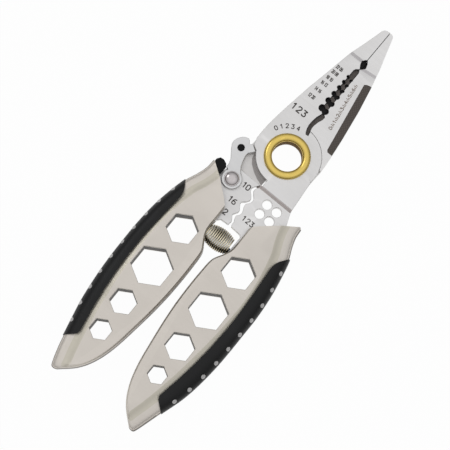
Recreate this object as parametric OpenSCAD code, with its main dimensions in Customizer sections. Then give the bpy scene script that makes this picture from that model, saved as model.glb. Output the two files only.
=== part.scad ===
// Multifunction pliers: two half-lapped blades on a hollow pivot, a lock latch,
// a coil spring and two sheet handles with rubber grips and hexagonal holes.
// The pivot axis is Z, the jaws point along +Y and the middle of the blades is at Z = 0.

/* [Reach] */
// pivot centre to the jaw tips
jaw_reach = 76.2; // [60:0.1:95]
// pivot centre to the tails of the handles
handle_reach = 140.8; // [110:0.1:175]
// turn of both handles about the pivot, in degrees
handle_swing = 0.95; // [0:0.05:2]

/* [Blades] */
// half of the full thickness of a jaw
blade_half = 3; // [2:0.1:4]
// half of the thickness of a tang
tang_half = 1.5; // [1:0.1:2]
// half of the thickness of the ground nose
nose_half = 2.4; // [1.8:0.1:3]
// gap from the middle plane to each lap face
lap_gap = 0.03; // [0.02:0.01:0.1]
// thickness of a thin cutting edge
edge_t = 1.3; // [0.8:0.1:1.8]
// radius of the boss where the other blade's shoulder passes
boss_small_r = 14.4; // [12:0.1:16]
// radius of the boss along the jaw seam
boss_r = 15.9; // [14:0.1:18]
// gap around the boss
boss_gap = 0.2; // [0.1:0.05:0.5]
// gap that a thin edge keeps from the other jaw
edge_gap = 0.2; // [0.1:0.05:0.4]

/* [Stripping holes] */
// diameter of the smallest stripping hole
first_hole_d = 0.8; // [0.6:0.1:1.4]
// growth from one stripping hole to the next
hole_growth_share = 1.2; // [1.1:0.01:1.3]
// radius of the pocket beside the smallest stripping hole
first_pocket_r = 0.75; // [0.5:0.05:1]
// growth from one pocket to the next
pocket_growth_share = 1.17; // [1.1:0.01:1.25]
// width of the metal left between two pockets
pocket_land_w = 1.56; // [1.2:0.02:2]
// half of the web left between the front and rear pockets
web_half = 0.6; // [0.4:0.1:1]
// number of stripping holes
hole_count = 6; // [4:1:7]

/* [Wind holes] */
// radius of a wind hole
wind_hole_r = 2.3; // [1.5:0.1:2.5]
// distance between wind holes across the tool
wind_pitch_x = 5.6; // [5:0.1:7]
// distance between wind holes along the tool
wind_pitch_y = 5.4; // [5:0.1:7]

/* [Pivot] */
// radius of the bore through the pivot
pivot_bore_r = 7; // [5:0.1:8]
// wall of the pivot sleeve
sleeve_wall = 1; // [0.6:0.1:1.5]
// radial clearance of the turning blade on the sleeve
pivot_gap = 0.05; // [0.02:0.01:0.1]
// radial clearance of the seated blade and ring on the sleeve
seat_gap = 0.02; // [0.01:0.01:0.05]
// width of the pivot flanges beyond the sleeve
flange_w = 2.8; // [2:0.1:4]
// thickness of a pivot flange
flange_t = 1.64; // [1:0.02:2.5]

/* [Latch] */
// thickness of the latch
latch_t = 1.5; // [1:0.1:2]
// radius of the latch's round end
latch_eye_r = 5.2; // [4:0.1:6]
// radius of the rivet shank
rivet_r = 1.6; // [1:0.1:2.5]
// radius of the rivet head
rivet_head_r = 3.4; // [2.5:0.1:4.5]
// height of the rivet's domed head
rivet_head_t = 1.6; // [0.8:0.1:2.2]
// radius of the black button in the latch's ear
button_r = 1.55; // [1:0.05:2]
// height that the button stands above the latch
button_rise = 0.25; // [0.1:0.05:0.6]

/* [Spring] */
// radius of the spring wire
wire_r = 0.31; // [0.25:0.01:0.36]
// radius of the coil's centre line at its ends
coil_end_r = 3.45; // [2.8:0.05:4]
// radius of the coil's centre line in the middle
coil_mid_r = 5.25; // [4:0.05:5.6]
// air between the coil and the two faces that hold it
coil_gap = 0.08; // [0.04:0.01:0.2]
// number of curls
coil_turns = 12.5; // [10:0.5:12.5]
// turn of the coil about Z, in degrees
coil_tilt = 3; // [0:0.5:8]
// radius of the nub inside each end of the coil
nub_r = 1.4; // [1:0.1:1.5]

/* [Handles] */
// half of the handle's thickness
handle_half = 5.6; // [4.5:0.1:7]
// thickness of the shell sheet
shell_t = 1.2; // [0.8:0.1:1.6]
// width of the bend between the flat panel and the outer edge
bend_w = 8; // [6:0.1:10]
// rise of the grip above the shell beside it
grip_rise = 0.4; // [0.2:0.05:0.8]
// gap between the liner and the shells
liner_gap = 0.1; // [0.05:0.01:0.2]
// how far the liner reaches under the wide bend
liner_reach = 1.7; // [0.2:0.1:2.4]
// gap between a tang and the liner
pocket_gap = 0.03; // [0.01:0.01:0.1]

/* [Grip studs] */
// radius of a stud
stud_r = 1.1; // [0.7:0.1:1.4]
// length of a stud
stud_len = 1.6; // [1:0.1:3]
// number of studs in each grip
stud_count = 10; // [6:1:10]
// slope of the studs from level, in degrees
stud_slope = 27; // [10:1:45]

/* [Small parts] */
// thickness of the file strip
file_t = 1; // [0.6:0.1:1.5]
// general seat gap between two fixed parts
fixed_gap = 0.04; // [0.02:0.01:0.1]
// space between the latch and what lies over or under it
slide_gap = 0.05; // [0.03:0.01:0.1]

/* [Hidden] */
$fn = 64;

// a cutter reaches past what it cuts by this much
past = blade_half;
sleeve_r = pivot_bore_r + sleeve_wall;
flange_r = sleeve_r + flange_w;
flange_z = blade_half + pivot_gap;
latch_z = tang_half + slide_gap;

// places in shares of the jaw reach
rivet_x_share = -0.1693;
rivet_y_share = -0.3176;
button_x_share = -0.2467;
button_y_share = -0.1352;
wind_x_share = 0.1286;
wind_y_share = -0.3373;
lap_line_share = 0.0643;
strip_x_share = -0.0118;
front_edge_x_share = -0.0262;
rear_edge_x_share = 0.0026;
rear_edge_drop_share = 0.0059;
first_hole_y_share = 0.6207;
spring_y_share = -0.6440;
seat_x_share = 0.0932;
// how low the wide boss arc begins, in shares of its radius
boss_low_share = -0.1429;
// small end of a nub and width of the rivet's tail, in shares of the large one
nub_end_share = 0.8;
tail_share = 0.8;
// power that rounds the spring's barrel shape
barrel_power = 0.8;
rivet_x = rivet_x_share * jaw_reach;
rivet_y = rivet_y_share * jaw_reach;
button_x = button_x_share * jaw_reach;
button_y = button_y_share * jaw_reach;
spring_y = spring_y_share * jaw_reach;
seat_x = seat_x_share * jaw_reach;

// the handle's front part follows the jaw reach and ends at the spring
tang_end_share = 0.76903;
tang_end = tang_end_share * jaw_reach;
// the rest of the handle, its body
body_len = handle_reach - tang_end;
// the bend takes no more than this share of the jaw reach
bend_share = 0.106;
bend_reach = min(bend_w, bend_share * jaw_reach);
hex_body_share = 0.92701;
hex_reach = min(jaw_reach, hex_body_share * body_len);
// hexagonal holes across flats, in shares of the hex reach: 14, 16, 12 and 8 mm, then 13, 17, 11 and 9 mm
right_hex_shares = [0.18373, 0.20997, 0.15748, 0.10499];
left_hex_shares = [0.17060, 0.22310, 0.14436, 0.11811];
right_hexes = right_hex_shares * hex_reach;
left_hexes = left_hex_shares * hex_reach;
hex_x_share = 0.2126;
hex_along_shares = [0.9625, 1.2372, 1.4866, 1.6813];
first_stud_share = 0.7575;
last_stud_share = 1.7360;
stud_in_share = 0.0092;
stud_z_share = 0.48;
window_x_share = 0.1194;
window_y_share = -0.7415;
liner_front_share = -0.4790;
tang_pocket_y_share = -0.6234;
tongue_top_share = 0.82;
liner_end_share = 1.868;
hollow_end_share = 1.9178;

// front jaw outline, from the seam round the tip and the outer edge to the boss
front_jaw_shares = [
    [-0.0013, 0.7769], [-0.0013, 1.0000], [-0.0210, 0.9987], [-0.0381, 0.9921],
    [-0.0472, 0.9764], [-0.0617, 0.9186], [-0.0827, 0.8399], [-0.1056, 0.7612],
    [-0.1260, 0.6496], [-0.1457, 0.5381], [-0.1680, 0.4199], [-0.1864, 0.2953],
    [-0.1995, 0.2034], [-0.2087, 0.1247], [-0.2133, 0.0656], [-0.2139, 0.0197],
    [-0.2126, -0.0262], [-0.2001, -0.0696], [-0.1601, -0.0938], [0.0000, -0.0787],
    [0.0525, 0.1312], [0.0098, 0.1785], [0.0013, 0.1772], [-0.0066, 0.1864], [-0.0157, 0.2100],
    [-0.0210, 0.2362], [-0.0210, 0.2625], [-0.0157, 0.3018], [-0.0046, 0.3333],
    [-0.0046, 0.3438], [-0.0210, 0.3530], [-0.0262, 0.3648], [-0.0262, 0.6719],
    [-0.0210, 0.6850], [-0.0013, 0.7008], [-0.0171, 0.7270], [-0.0243, 0.7507],
    [-0.0112, 0.7690]
];

// front blade between the boss and the step above its tang
front_shoulder_shares = [
    [0.0000, 0.0000], [0.0000, -0.2362], [0.2283, -0.2362], [0.2251, -0.1969],
    [0.2192, -0.1312], [0.2159, -0.0853], [0.2067, -0.0289], [0.1575, 0.0000]
];

// front blade tang, from the crimp edge round the spring finger to the outer edge
front_tang_shares = [
    [0.0000, -0.2362], [0.0000, -0.2415], [-0.0118, -0.2533], [-0.0236, -0.2730],
    [-0.0236, -0.2887], [-0.0105, -0.3058], [0.0066, -0.3228], [0.0118, -0.3412],
    [0.0066, -0.3596], [-0.0092, -0.3780], [-0.0092, -0.3963], [0.0000, -0.4160],
    [0.0079, -0.4331], [0.0052, -0.4514], [-0.0092, -0.4711], [-0.0052, -0.4908],
    [0.0052, -0.5105], [0.0039, -0.5262], [0.0118, -0.5420], [0.0814, -0.5459],
    [0.0932, -0.5591], [0.0932, -0.7218], [0.1089, -0.7218], [0.1115, -0.6115],
    [0.2822, -0.6115], [0.3215, -0.5512], [0.3084, -0.4462], [0.2782, -0.3675],
    [0.2559, -0.3123], [0.2402, -0.2756], [0.2297, -0.2428], [0.2283, -0.2362]
];

// rear jaw outline, from the seam round the tip and the outer edge to the boss
rear_jaw_shares = [
    [0.0013, 0.7769], [0.0013, 1.0000], [0.0157, 0.9987], [0.0262, 0.9921], [0.0328, 0.9816],
    [0.0591, 0.8924], [0.0971, 0.7690], [0.1037, 0.7349], [0.1247, 0.6562], [0.1575, 0.4987],
    [0.1890, 0.2953], [0.2028, 0.1837], [0.2087, 0.1247], [0.2152, 0.0656], [0.2198, 0.0131],
    [0.2185, -0.0262], [0.2139, -0.0656], [0.1969, -0.0919], [0.0262, -0.0787],
    [0.0066, 0.1575], [0.0171, 0.1785], [0.0118, 0.2034], [0.0052, 0.2297], [0.0052, 0.2493],
    [0.0118, 0.2822], [0.0223, 0.3084], [0.0249, 0.3307], [0.0118, 0.3438], [0.0098, 0.3570],
    [0.0098, 0.6745], [0.0013, 0.7008], [0.0105, 0.7087], [0.0249, 0.7297], [0.0157, 0.7572]
];

// rear blade between the boss and the step above its tang
rear_shoulder_shares = [
    [0.0000, 0.0000], [-0.0118, -0.2362], [-0.2270, -0.2362], [-0.2244, -0.1969],
    [-0.2192, -0.1312], [-0.2139, -0.0656], [-0.2113, -0.0381], [-0.2067, -0.0289],
    [-0.1575, 0.0394]
];

// rear blade tang, from the crimp edge round the spring finger to the outer edge
rear_tang_shares = [
    [-0.0118, -0.2362], [-0.0171, -0.2415], [-0.0341, -0.2625], [-0.0433, -0.2822],
    [-0.0341, -0.3018], [-0.0171, -0.3176], [-0.0039, -0.3346], [-0.0033, -0.3478],
    [-0.0157, -0.3675], [-0.0354, -0.3845], [-0.0367, -0.3976], [-0.0223, -0.4186],
    [-0.0118, -0.4331], [-0.0118, -0.4462], [-0.0236, -0.4659], [-0.0302, -0.4764],
    [-0.0276, -0.4856], [-0.0131, -0.5026], [-0.0079, -0.5144], [-0.0118, -0.5420],
    [-0.0656, -0.5459], [-0.0787, -0.5617], [-0.0932, -0.5774], [-0.0932, -0.7218],
    [-0.1063, -0.7218], [-0.1089, -0.6115], [-0.2756, -0.6115], [-0.3150, -0.5512],
    [-0.3018, -0.4462], [-0.2690, -0.3806], [-0.2441, -0.3150], [-0.2323, -0.2756],
    [-0.2270, -0.2362]
];

// outline of the file strip, wider than the jaw at its outer edge
file_shares = [
    [0.0794, 0.6417], [0.0919, 0.6522], [0.1129, 0.6588], [0.1391, 0.6588], [0.2231, 0.1745],
    [0.1693, 0.1745], [0.1594, 0.1864]
];

// area of the front jaw that is ground thinner
front_nose_cut_shares = [
    [-0.1575, 0.7559], [0.0000, 0.7598], [0.0000, 1.0499], [-0.1575, 1.0499]
];

// area of the rear jaw that is ground thinner
rear_nose_cut_shares = [
    [0.0000, 0.7205], [0.1575, 0.7362], [0.1575, 1.0499], [0.0000, 1.0499]
];

// latch outline, from the ear down the outer edge to the rivet and back up the neck
latch_shares = [
    [-0.2336, -0.0682], [-0.2454, -0.0610], [-0.2651, -0.0656], [-0.2835, -0.0787],
    [-0.3005, -0.1024], [-0.3084, -0.1286], [-0.3045, -0.1522], [-0.2887, -0.1785],
    [-0.2703, -0.2021], [-0.2533, -0.2270], [-0.2441, -0.2520], [-0.2388, -0.2822],
    [-0.1693, -0.3176], [-0.1207, -0.2703], [-0.1575, -0.2467], [-0.1732, -0.2231],
    [-0.1877, -0.1837], [-0.1942, -0.1522], [-0.1929, -0.1352], [-0.1654, -0.1030],
    [-0.2034, -0.0768], [-0.2126, -0.0787], [-0.2218, -0.0840]
];

// front half of the web in the middle of the nose hole
front_web_shares = [
    [-0.0013, 0.7756], [-0.0112, 0.7690], [-0.0243, 0.7507], [-0.0171, 0.7270],
    [-0.0013, 0.7021], [-0.0013, 0.7257], [-0.0092, 0.7362], [-0.0098, 0.7493],
    [-0.0013, 0.7598]
];

// rear half of the web in the middle of the nose hole
rear_web_shares = [
    [0.0013, 0.7756], [0.0157, 0.7572], [0.0249, 0.7297], [0.0105, 0.7087], [0.0013, 0.7021],
    [0.0013, 0.7257], [0.0098, 0.7336], [0.0079, 0.7480], [0.0013, 0.7598]
];

// outline of the black end plug in the left handle's mouth
plug_shares = [
    [-0.3150, 0.3993], [-0.3150, 0.3686], [-0.3005, 0.3413], [-0.2782, 0.3379],
    [-0.2520, 0.3515], [-0.2388, 0.3720], [-0.2375, 0.4352], [-0.2572, 0.4863],
    [-0.2953, 0.4863]
];

// outline of the plug's tongue under the shell
tongue_shares = [
    [-0.2730, 0.5119], [-0.2730, 0.3242], [-0.2310, 0.3242], [-0.2310, 0.5119]
];

// handle outline of the right handle before its swing, run past the mouth
handle_outline_shares = [
    [0.3307, 0.0512], [0.3307, 0.2048], [0.3333, 0.3498], [0.3373, 0.4522], [0.3596, 0.5461],
    [0.3885, 0.6348], [0.4140, 0.7679], [0.4331, 0.9044], [0.4429, 1.0231], [0.4475, 1.1144],
    [0.4449, 1.2117], [0.4390, 1.3151], [0.4272, 1.4307], [0.4134, 1.5341], [0.4003, 1.6253],
    [0.3832, 1.7129], [0.3609, 1.8151], [0.3399, 1.8966], [0.3150, 1.9769], [0.3005, 2.0000],
    [0.2782, 1.9988], [0.2572, 1.9830], [0.1942, 1.9307], [0.1457, 1.8698], [0.1063, 1.7871],
    [0.0787, 1.6861], [0.0591, 1.5645], [0.0420, 1.4428], [0.0302, 1.3212], [0.0256, 1.1995],
    [0.0269, 1.0779], [0.0341, 1.0000], [0.0669, 0.9198], [0.0853, 0.8669], [0.0919, 0.8106],
    [0.0919, 0.6826], [0.0919, 0.4778], [0.0919, 0.2730], [0.0919, 0.0512]
];

// area in front of the handle's mouth, taken away
mouth_shares = [
    [-0.0262, -0.0683], [0.5249, -0.0683], [0.5249, 0.3874], [0.3360, 0.3874],
    [0.3294, 0.3780], [0.3215, 0.3805], [0.3123, 0.3908], [0.2375, 0.4608], [0.2008, 0.5017],
    [0.1339, 0.5751], [0.1063, 0.6109], [0.0735, 0.6792], [-0.0262, 0.6792]
];

// area of the handle that the rubber grip takes, run past its outer edge
grip_zone_shares = [
    [0.5906, 0.6058], [0.4055, 0.6058], [0.3570, 0.6997], [0.3451, 0.7338], [0.3425, 0.7765],
    [0.3504, 0.9044], [0.3583, 1.0292], [0.3648, 1.1387], [0.3648, 1.2603], [0.3583, 1.3820],
    [0.3451, 1.5036], [0.3268, 1.6253], [0.3058, 1.7299], [0.2999, 1.7616], [0.3058, 1.7798],
    [0.3202, 1.7932], [0.3806, 1.8382], [0.5906, 1.8382]
];

// share of the wide bend at each point of the handle outline
bend_shares = [
    0.15, 1, 1, 1, 1, 1, 1, 1, 1, 1, 1, 1, 1, 1, 0.98, 0.92, 0.78, 0.62, 0.36, 0.16, 0.13, 0.12,
    0.12, 0.12, 0.12, 0.12, 0.12, 0.12, 0.12, 0.12, 0.12, 0.12, 0.12, 0.12, 0.12, 0.12, 0.12, 0.12, 0.12
];

// the channel between the two jaws where the thin edges meet, in shares of the jaw reach
channel_shares = [
    [0.0098, 0.1785], [0.0013, 0.1772], [-0.0066, 0.1864], [-0.0157, 0.2100], [-0.0210, 0.2362],
    [-0.0210, 0.2625], [-0.0157, 0.3018], [-0.0046, 0.3333], [-0.0046, 0.3438], [-0.0210, 0.3530],
    [-0.0262, 0.3648], [-0.0262, 0.6719], [-0.0210, 0.6850], [-0.0013, 0.7008], [0.0013, 0.7008],
    [0.0098, 0.6745], [0.0098, 0.3570], [0.0118, 0.3438], [0.0249, 0.3307], [0.0223, 0.3084],
    [0.0118, 0.2822], [0.0052, 0.2493], [0.0052, 0.2297], [0.0118, 0.2034], [0.0171, 0.1785]
];

// profile of the shell's bend: share of the bend width, share of the handle's half thickness
shell_shares = [[0, 0], [0.02, 0.30], [0.10, 0.56], [0.28, 0.78], [0.60, 0.93], [1, 1]];
// profile of the hollow in the shell in the same shares
hollow_shares = [[0, 0], [0.28, 0.80], [1, 1]];
// profile of the grip in the same shares
grip_shares = [[-0.05, 0], [-0.02, 0.34], [0.10, 0.63], [0.29, 0.85], [0.56, 0.97], [1, 1]];

// steps between two points of the handle outline
outline_steps = 2;
// rings per curl and sides of the spring wire
coil_rings = 8;
wire_sides = 6;

function sized(list, size) = [for (p = list) p * size];

// length along the handle: 0 to 1 runs over its front part, 1 to 2 over its body
function along(s) = -min(s, 1) * tang_end - max(s - 1, 0) * body_len;

function placed(list) = [for (p = list) [p[0] * jaw_reach, along(p[1])]];

function curve(list, steps) = [
    for (i = [0 : len(list) - 1], j = [0 : steps - 1])
        let (n = len(list), a = list[(i + n - 1) % n], b = list[i], c = list[(i + 1) % n],
             d = list[(i + 2) % n], t = j / steps)
        (2 * b + (c - a) * t + (2 * a - 5 * b + 4 * c - d) * t * t
         + (3 * b - a - 3 * c + d) * t * t * t) / 2
];

function unit(v) = v / norm(v);

function inward(list, i) =
    let (n = len(list), d = unit(list[(i + 1) % n] - list[(i + n - 1) % n]))
    [d[1], -d[0]];

function inset(list, depths) = [for (i = [0 : len(list) - 1]) list[i] + inward(list, i) * depths[i]];

function raised(list, z) = [for (p = list) [p[0], p[1], z]];

handle_curve = curve(placed(handle_outline_shares), outline_steps);
bend_curve = curve(bend_shares, outline_steps);
// the hollow of the shell stops short of the tail
hollow_curve = [for (p = handle_curve) [p[0], max(p[1], along(hollow_end_share))]];

function bend_ring(share) = inset(handle_curve, [for (b = bend_curve) b * share * bend_reach]);
function hollow_ring(share) = inset(hollow_curve, [for (b = bend_curve) b * share * bend_reach + shell_t]);

shell_inner_half = handle_half - shell_t;
shell_rings = concat(
    [for (i = [len(hollow_shares) - 1 : -1 : 0])
        raised(hollow_ring(hollow_shares[i][0]), hollow_shares[i][1] * shell_inner_half)],
    [for (p = shell_shares) raised(bend_ring(p[0]), p[1] * handle_half)]
);

grip_half = handle_half + grip_rise;
grip_rings = concat(
    [for (i = [len(grip_shares) - 1 : -1 : 1])
        raised(bend_ring(grip_shares[i][0]), -grip_shares[i][1] * grip_half)],
    [for (p = grip_shares) raised(bend_ring(p[0]), p[1] * grip_half)]
);

// a closed solid through rings of points that all run clockwise seen from the last ring
module loft(rings) {
    n = len(rings[0]);
    last = len(rings) - 1;
    polyhedron(
        points = [for (r = rings) for (p = r) p],
        faces = concat(
            [[for (i = [n - 1 : -1 : 0]) i]],
            [for (k = [0 : last - 1], i = [0 : n - 1])
                [k * n + i, k * n + (i + 1) % n, (k + 1) * n + (i + 1) % n]],
            [for (k = [0 : last - 1], i = [0 : n - 1])
                [k * n + i, (k + 1) * n + (i + 1) % n, (k + 1) * n + i]],
            [[for (i = [0 : n - 1]) last * n + i]]
        ),
        convexity = 8
    );
}

module plate(list, low, high) {
    translate([0, 0, low])
        linear_extrude(high - low, convexity = 8)
            polygon(list);
}

module bar(r, low, high) {
    translate([0, 0, low])
        cylinder(r = r, h = high - low);
}

// stripping holes grow towards the pivot
function hole_r(i) = first_hole_d * pow(hole_growth_share, i) / 2;
function pocket_r(i) = first_pocket_r * pow(pocket_growth_share, i);
function hole_y(i) = i == 0
    ? first_hole_y_share * jaw_reach
    : hole_y(i - 1) - pocket_land_w - pocket_r(i - 1) - pocket_r(i);

// one blade with its lap on the upper side
module blade(jaw, shoulder, tang, nose_cut, web, side) {
    reach = blade_half + past;
    difference() {
        union() {
            difference() {
                plate(sized(jaw, jaw_reach), -blade_half, blade_half);
                bar(boss_r + boss_gap, -reach, lap_gap);
                translate([-jaw_reach, -jaw_reach, -reach])
                    cube([2 * jaw_reach, jaw_reach * (1 + lap_line_share), reach + lap_gap]);
                plate(sized(nose_cut, jaw_reach), nose_half, reach);
                plate(sized(nose_cut, jaw_reach), -reach, -nose_half);
            }
            bar(boss_small_r, lap_gap, blade_half);
            intersection() {
                bar(boss_r, lap_gap, blade_half);
                translate([side > 0 ? 0 : -boss_r, boss_low_share * boss_r, 0])
                    cube([boss_r, 2 * boss_r, blade_half]);
            }
            plate(sized(shoulder, jaw_reach), lap_gap, blade_half);
            plate(sized(tang, jaw_reach), -tang_half, tang_half);
            seat_nub(side);
        }
        plate(sized(channel_shares, jaw_reach), edge_t, reach);
        for (i = [0 : hole_count - 1], z = [-reach, web_half]) {
            translate([front_edge_x_share * jaw_reach, hole_y(i), 0])
                bar(pocket_r(i), z, z + reach - web_half);
            translate([rear_edge_x_share * jaw_reach, hole_y(i) - rear_edge_drop_share * jaw_reach, 0])
                bar(pocket_r(i), z, z + reach - web_half);
        }
    }
    plate(sized(web, jaw_reach), -web_half, web_half);
    difference() {
        plate(sized(channel_shares, jaw_reach), lap_gap, edge_t);
        translate([-side * edge_gap, 0, 0])
            other_edge(side);
        for (i = [0 : hole_count - 1])
            thin_notch(i, side);
    }
}

// keeps a thin edge clear of the other jaw
module other_edge(side) {
    translate([0, 0, -past])
        linear_extrude(edge_t + 2 * past, convexity = 8)
            polygon(sized(side > 0 ? rear_jaw_shares : front_jaw_shares, jaw_reach));
}

// a stripping notch with its mouth towards the other jaw
module thin_notch(i, side) {
    translate([strip_x_share * jaw_reach, hole_y(i), 0]) {
        bar(hole_r(i), -past, edge_t + past);
        translate([side > 0 ? 0 : -past, -hole_r(i), -past])
            cube([past, 2 * hole_r(i), edge_t + 2 * past]);
    }
}

// nub that stands inside one end of the coil spring
module seat_nub(side) {
    translate([side * seat_x, spring_y, 0])
        rotate([0, -side * 90, 0])
            cylinder(r1 = nub_r, r2 = nub_r * nub_end_share, h = 2 * nub_r);
}

module front_blade() {
    color([0.80, 0.79, 0.78])
        difference() {
            blade(front_jaw_shares, front_shoulder_shares, front_tang_shares, front_nose_cut_shares,
                front_web_shares, 1);
            bar(sleeve_r + pivot_gap, -2 * blade_half, 2 * blade_half);
            for (x = [-wind_pitch_x / 2, wind_pitch_x / 2], y = [-wind_pitch_y / 2, wind_pitch_y / 2])
                translate([wind_x_share * jaw_reach + x, wind_y_share * jaw_reach + y, 0])
                    bar(wind_hole_r, -2 * tang_half, 2 * tang_half);
        }
}

module rear_blade() {
    color([0.78, 0.77, 0.76])
        difference() {
            mirror([0, 0, 1])
                blade(rear_jaw_shares, rear_shoulder_shares, rear_tang_shares, rear_nose_cut_shares,
                    rear_web_shares, -1);
            bar(sleeve_r + seat_gap, -2 * blade_half, 2 * blade_half);
            bar_at_rivet(rivet_r, -2 * blade_half, 2 * blade_half);
            plate(sized(file_shares, jaw_reach), blade_half - file_t, blade_half + past);
        }
}

module bar_at_rivet(r, low, high) {
    translate([rivet_x, rivet_y, 0])
        bar(r, low, high);
}

module file_strip() {
    color([0.33, 0.30, 0.28])
        intersection() {
            plate(sized(rear_jaw_shares, jaw_reach), -blade_half, blade_half);
            plate(sized(file_shares, jaw_reach), blade_half - file_t, blade_half);
        }
}

module flange(inner_r) {
    round_r = flange_t / 2;
    translate([0, 0, flange_z])
        rotate_extrude() {
            translate([inner_r + round_r, 0])
                square([flange_r - inner_r - 2 * round_r, flange_t]);
            translate([inner_r + round_r, round_r])
                circle(r = round_r);
            translate([flange_r - round_r, round_r])
                circle(r = round_r);
        }
}

module pivot_sleeve() {
    color([0.85, 0.68, 0.30])
        union() {
            difference() {
                bar(sleeve_r, -flange_z - flange_t, flange_z + flange_t / 2);
                bar(pivot_bore_r, -flange_z - 2 * flange_t, flange_z + flange_t);
            }
            flange(pivot_bore_r);
        }
}

module pivot_ring() {
    color([0.83, 0.66, 0.28])
        mirror([0, 0, 1])
            difference() {
                flange(pivot_bore_r);
                bar(sleeve_r + seat_gap, 0, flange_z + 2 * flange_t);
            }
}

module lock_latch() {
    color([0.80, 0.80, 0.79])
        difference() {
            union() {
                plate(sized(latch_shares, jaw_reach), latch_z, latch_z + latch_t);
                bar_at_rivet(latch_eye_r, latch_z, latch_z + latch_t);
            }
            bar(boss_small_r + boss_gap, 0, 2 * blade_half);
            bar_at_rivet(rivet_r + pivot_gap, 0, 2 * blade_half);
            translate([button_x, button_y, 0])
                bar(button_r, 0, 2 * blade_half);
        }
}

module latch_button() {
    color([0.04, 0.04, 0.04])
        translate([button_x, button_y, 0])
            bar(button_r, latch_z, latch_z + latch_t + button_rise);
}

module latch_rivet() {
    head_z = latch_z + latch_t + slide_gap;
    ball_r = (rivet_head_r * rivet_head_r + rivet_head_t * rivet_head_t) / (2 * rivet_head_t);
    color([0.72, 0.70, 0.69])
        union() {
            bar_at_rivet(rivet_r, -tang_half - rivet_head_t / 2, head_z + rivet_head_t / 2);
            translate([rivet_x, rivet_y, head_z])
                intersection() {
                    translate([0, 0, rivet_head_t - ball_r])
                        sphere(r = ball_r);
                    bar(rivet_head_r, 0, rivet_head_t);
                }
            bar_at_rivet(rivet_head_r * tail_share, -tang_half - rivet_head_t / 2, -tang_half);
        }
}

function coil_point(t) =
    let (r = coil_end_r + (coil_mid_r - coil_end_r) * pow(sin(180 * t), barrel_power),
         a = 360 * coil_turns * t)
    [coil_half * (2 * t - 1), r * cos(a), r * sin(a)];

coil_half = seat_x - coil_gap - wire_r - coil_end_r * sin(coil_tilt);
coil_count = coil_turns * coil_rings;
coil_path = [for (i = [0 : coil_count]) coil_point(i / coil_count)];
coil_start_dir = unit(coil_path[0] - coil_path[1]);
coil_end_dir = unit(coil_path[coil_count] - coil_path[coil_count - 1]);
wire_path = concat(
    [coil_path[0] + [0, coil_start_dir[1], coil_start_dir[2]] * 2 * wire_r],
    coil_path,
    [coil_path[coil_count] + [0, coil_end_dir[1], coil_end_dir[2]] * 2 * wire_r]
);

function wire_dir(i) =
    let (last = len(wire_path) - 1)
    unit(wire_path[min(i + 1, last)] - wire_path[max(i - 1, 0)]);

function wire_ring(i) =
    let (d = wire_dir(i), p = wire_path[i], out = [0, p[1], p[2]],
         u = unit(out - d * (out * d)), v = cross(d, u))
    [for (k = [0 : wire_sides - 1])
        p + wire_r * (u * cos(360 * k / wire_sides) - v * sin(360 * k / wire_sides))];

wire_self_gap = min([
    for (
        i = [0 : len(wire_path) - 1],
        j = [i + coil_rings - 2 : 1 : min(i + 2 * coil_rings, len(wire_path) - 1)]
    )
        norm(wire_path[i] - wire_path[j])
]) - 2 * wire_r;
echo(wire_self_gap = wire_self_gap);

module return_spring() {
    color([0.45, 0.41, 0.30])
        translate([0, spring_y, 0])
            rotate([0, 0, coil_tilt])
                loft([for (i = [0 : len(wire_path) - 1]) wire_ring(i)]);
}

module on_right() {
    rotate([0, 0, handle_swing])
        children();
}

module on_left() {
    rotate([0, 0, handle_swing])
        mirror([1, 0, 0])
            children();
}

function hex_outline(flats) = [for (i = [0 : 5]) [sin(60 * i), cos(60 * i)] * flats / sqrt(3)];

module hex_holes(flats) {
    for (i = [0 : len(flats) - 1])
        translate([hex_x_share * jaw_reach, along(hex_along_shares[i]), 0])
            plate(hex_outline(flats[i]), -2 * handle_half, 2 * handle_half);
}

// one half shell, front side up, as tall as half of the handle
module shell(flats) {
    resize([0, 0, handle_half])
        difference() {
            loft(shell_rings);
            hex_holes(flats);
            plate(placed(mouth_shares), -handle_half, 2 * handle_half);
            plate(placed(grip_zone_shares), -handle_half, 2 * handle_half);
            translate([0, window_y_share * jaw_reach, -handle_half])
                cube([window_x_share * jaw_reach, jaw_reach, handle_half + shell_inner_half - shell_t / 2]);
        }
}

module liner(flats) {
    liner_half = shell_inner_half * lookup(1 - liner_reach / bend_reach, hollow_shares) - liner_gap;
    ring = inset(hollow_curve,
        [for (b = bend_curve) b * (bend_reach - liner_reach) + shell_t + liner_gap / 2]);
    difference() {
        plate(ring, -liner_half, liner_half);
        hex_holes(flats);
        translate([-jaw_reach, liner_front_share * jaw_reach, -handle_half])
            cube([2 * jaw_reach, jaw_reach, 2 * handle_half]);
        translate([-jaw_reach, along(liner_end_share) - jaw_reach, -handle_half])
            cube([2 * jaw_reach, jaw_reach, 2 * handle_half]);
        translate([-jaw_reach, tang_pocket_y_share * jaw_reach, -tang_half - pocket_gap])
            cube([2 * jaw_reach, jaw_reach, 2 * (tang_half + pocket_gap)]);
        translate([0, window_y_share * jaw_reach, -handle_half])
            cube([window_x_share * jaw_reach, jaw_reach, 2 * handle_half]);
    }
}

outer_edge = [for (i = [len(handle_curve) / 2 : -1 : 0]) [handle_curve[i][1], handle_curve[i][0]]];

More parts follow.
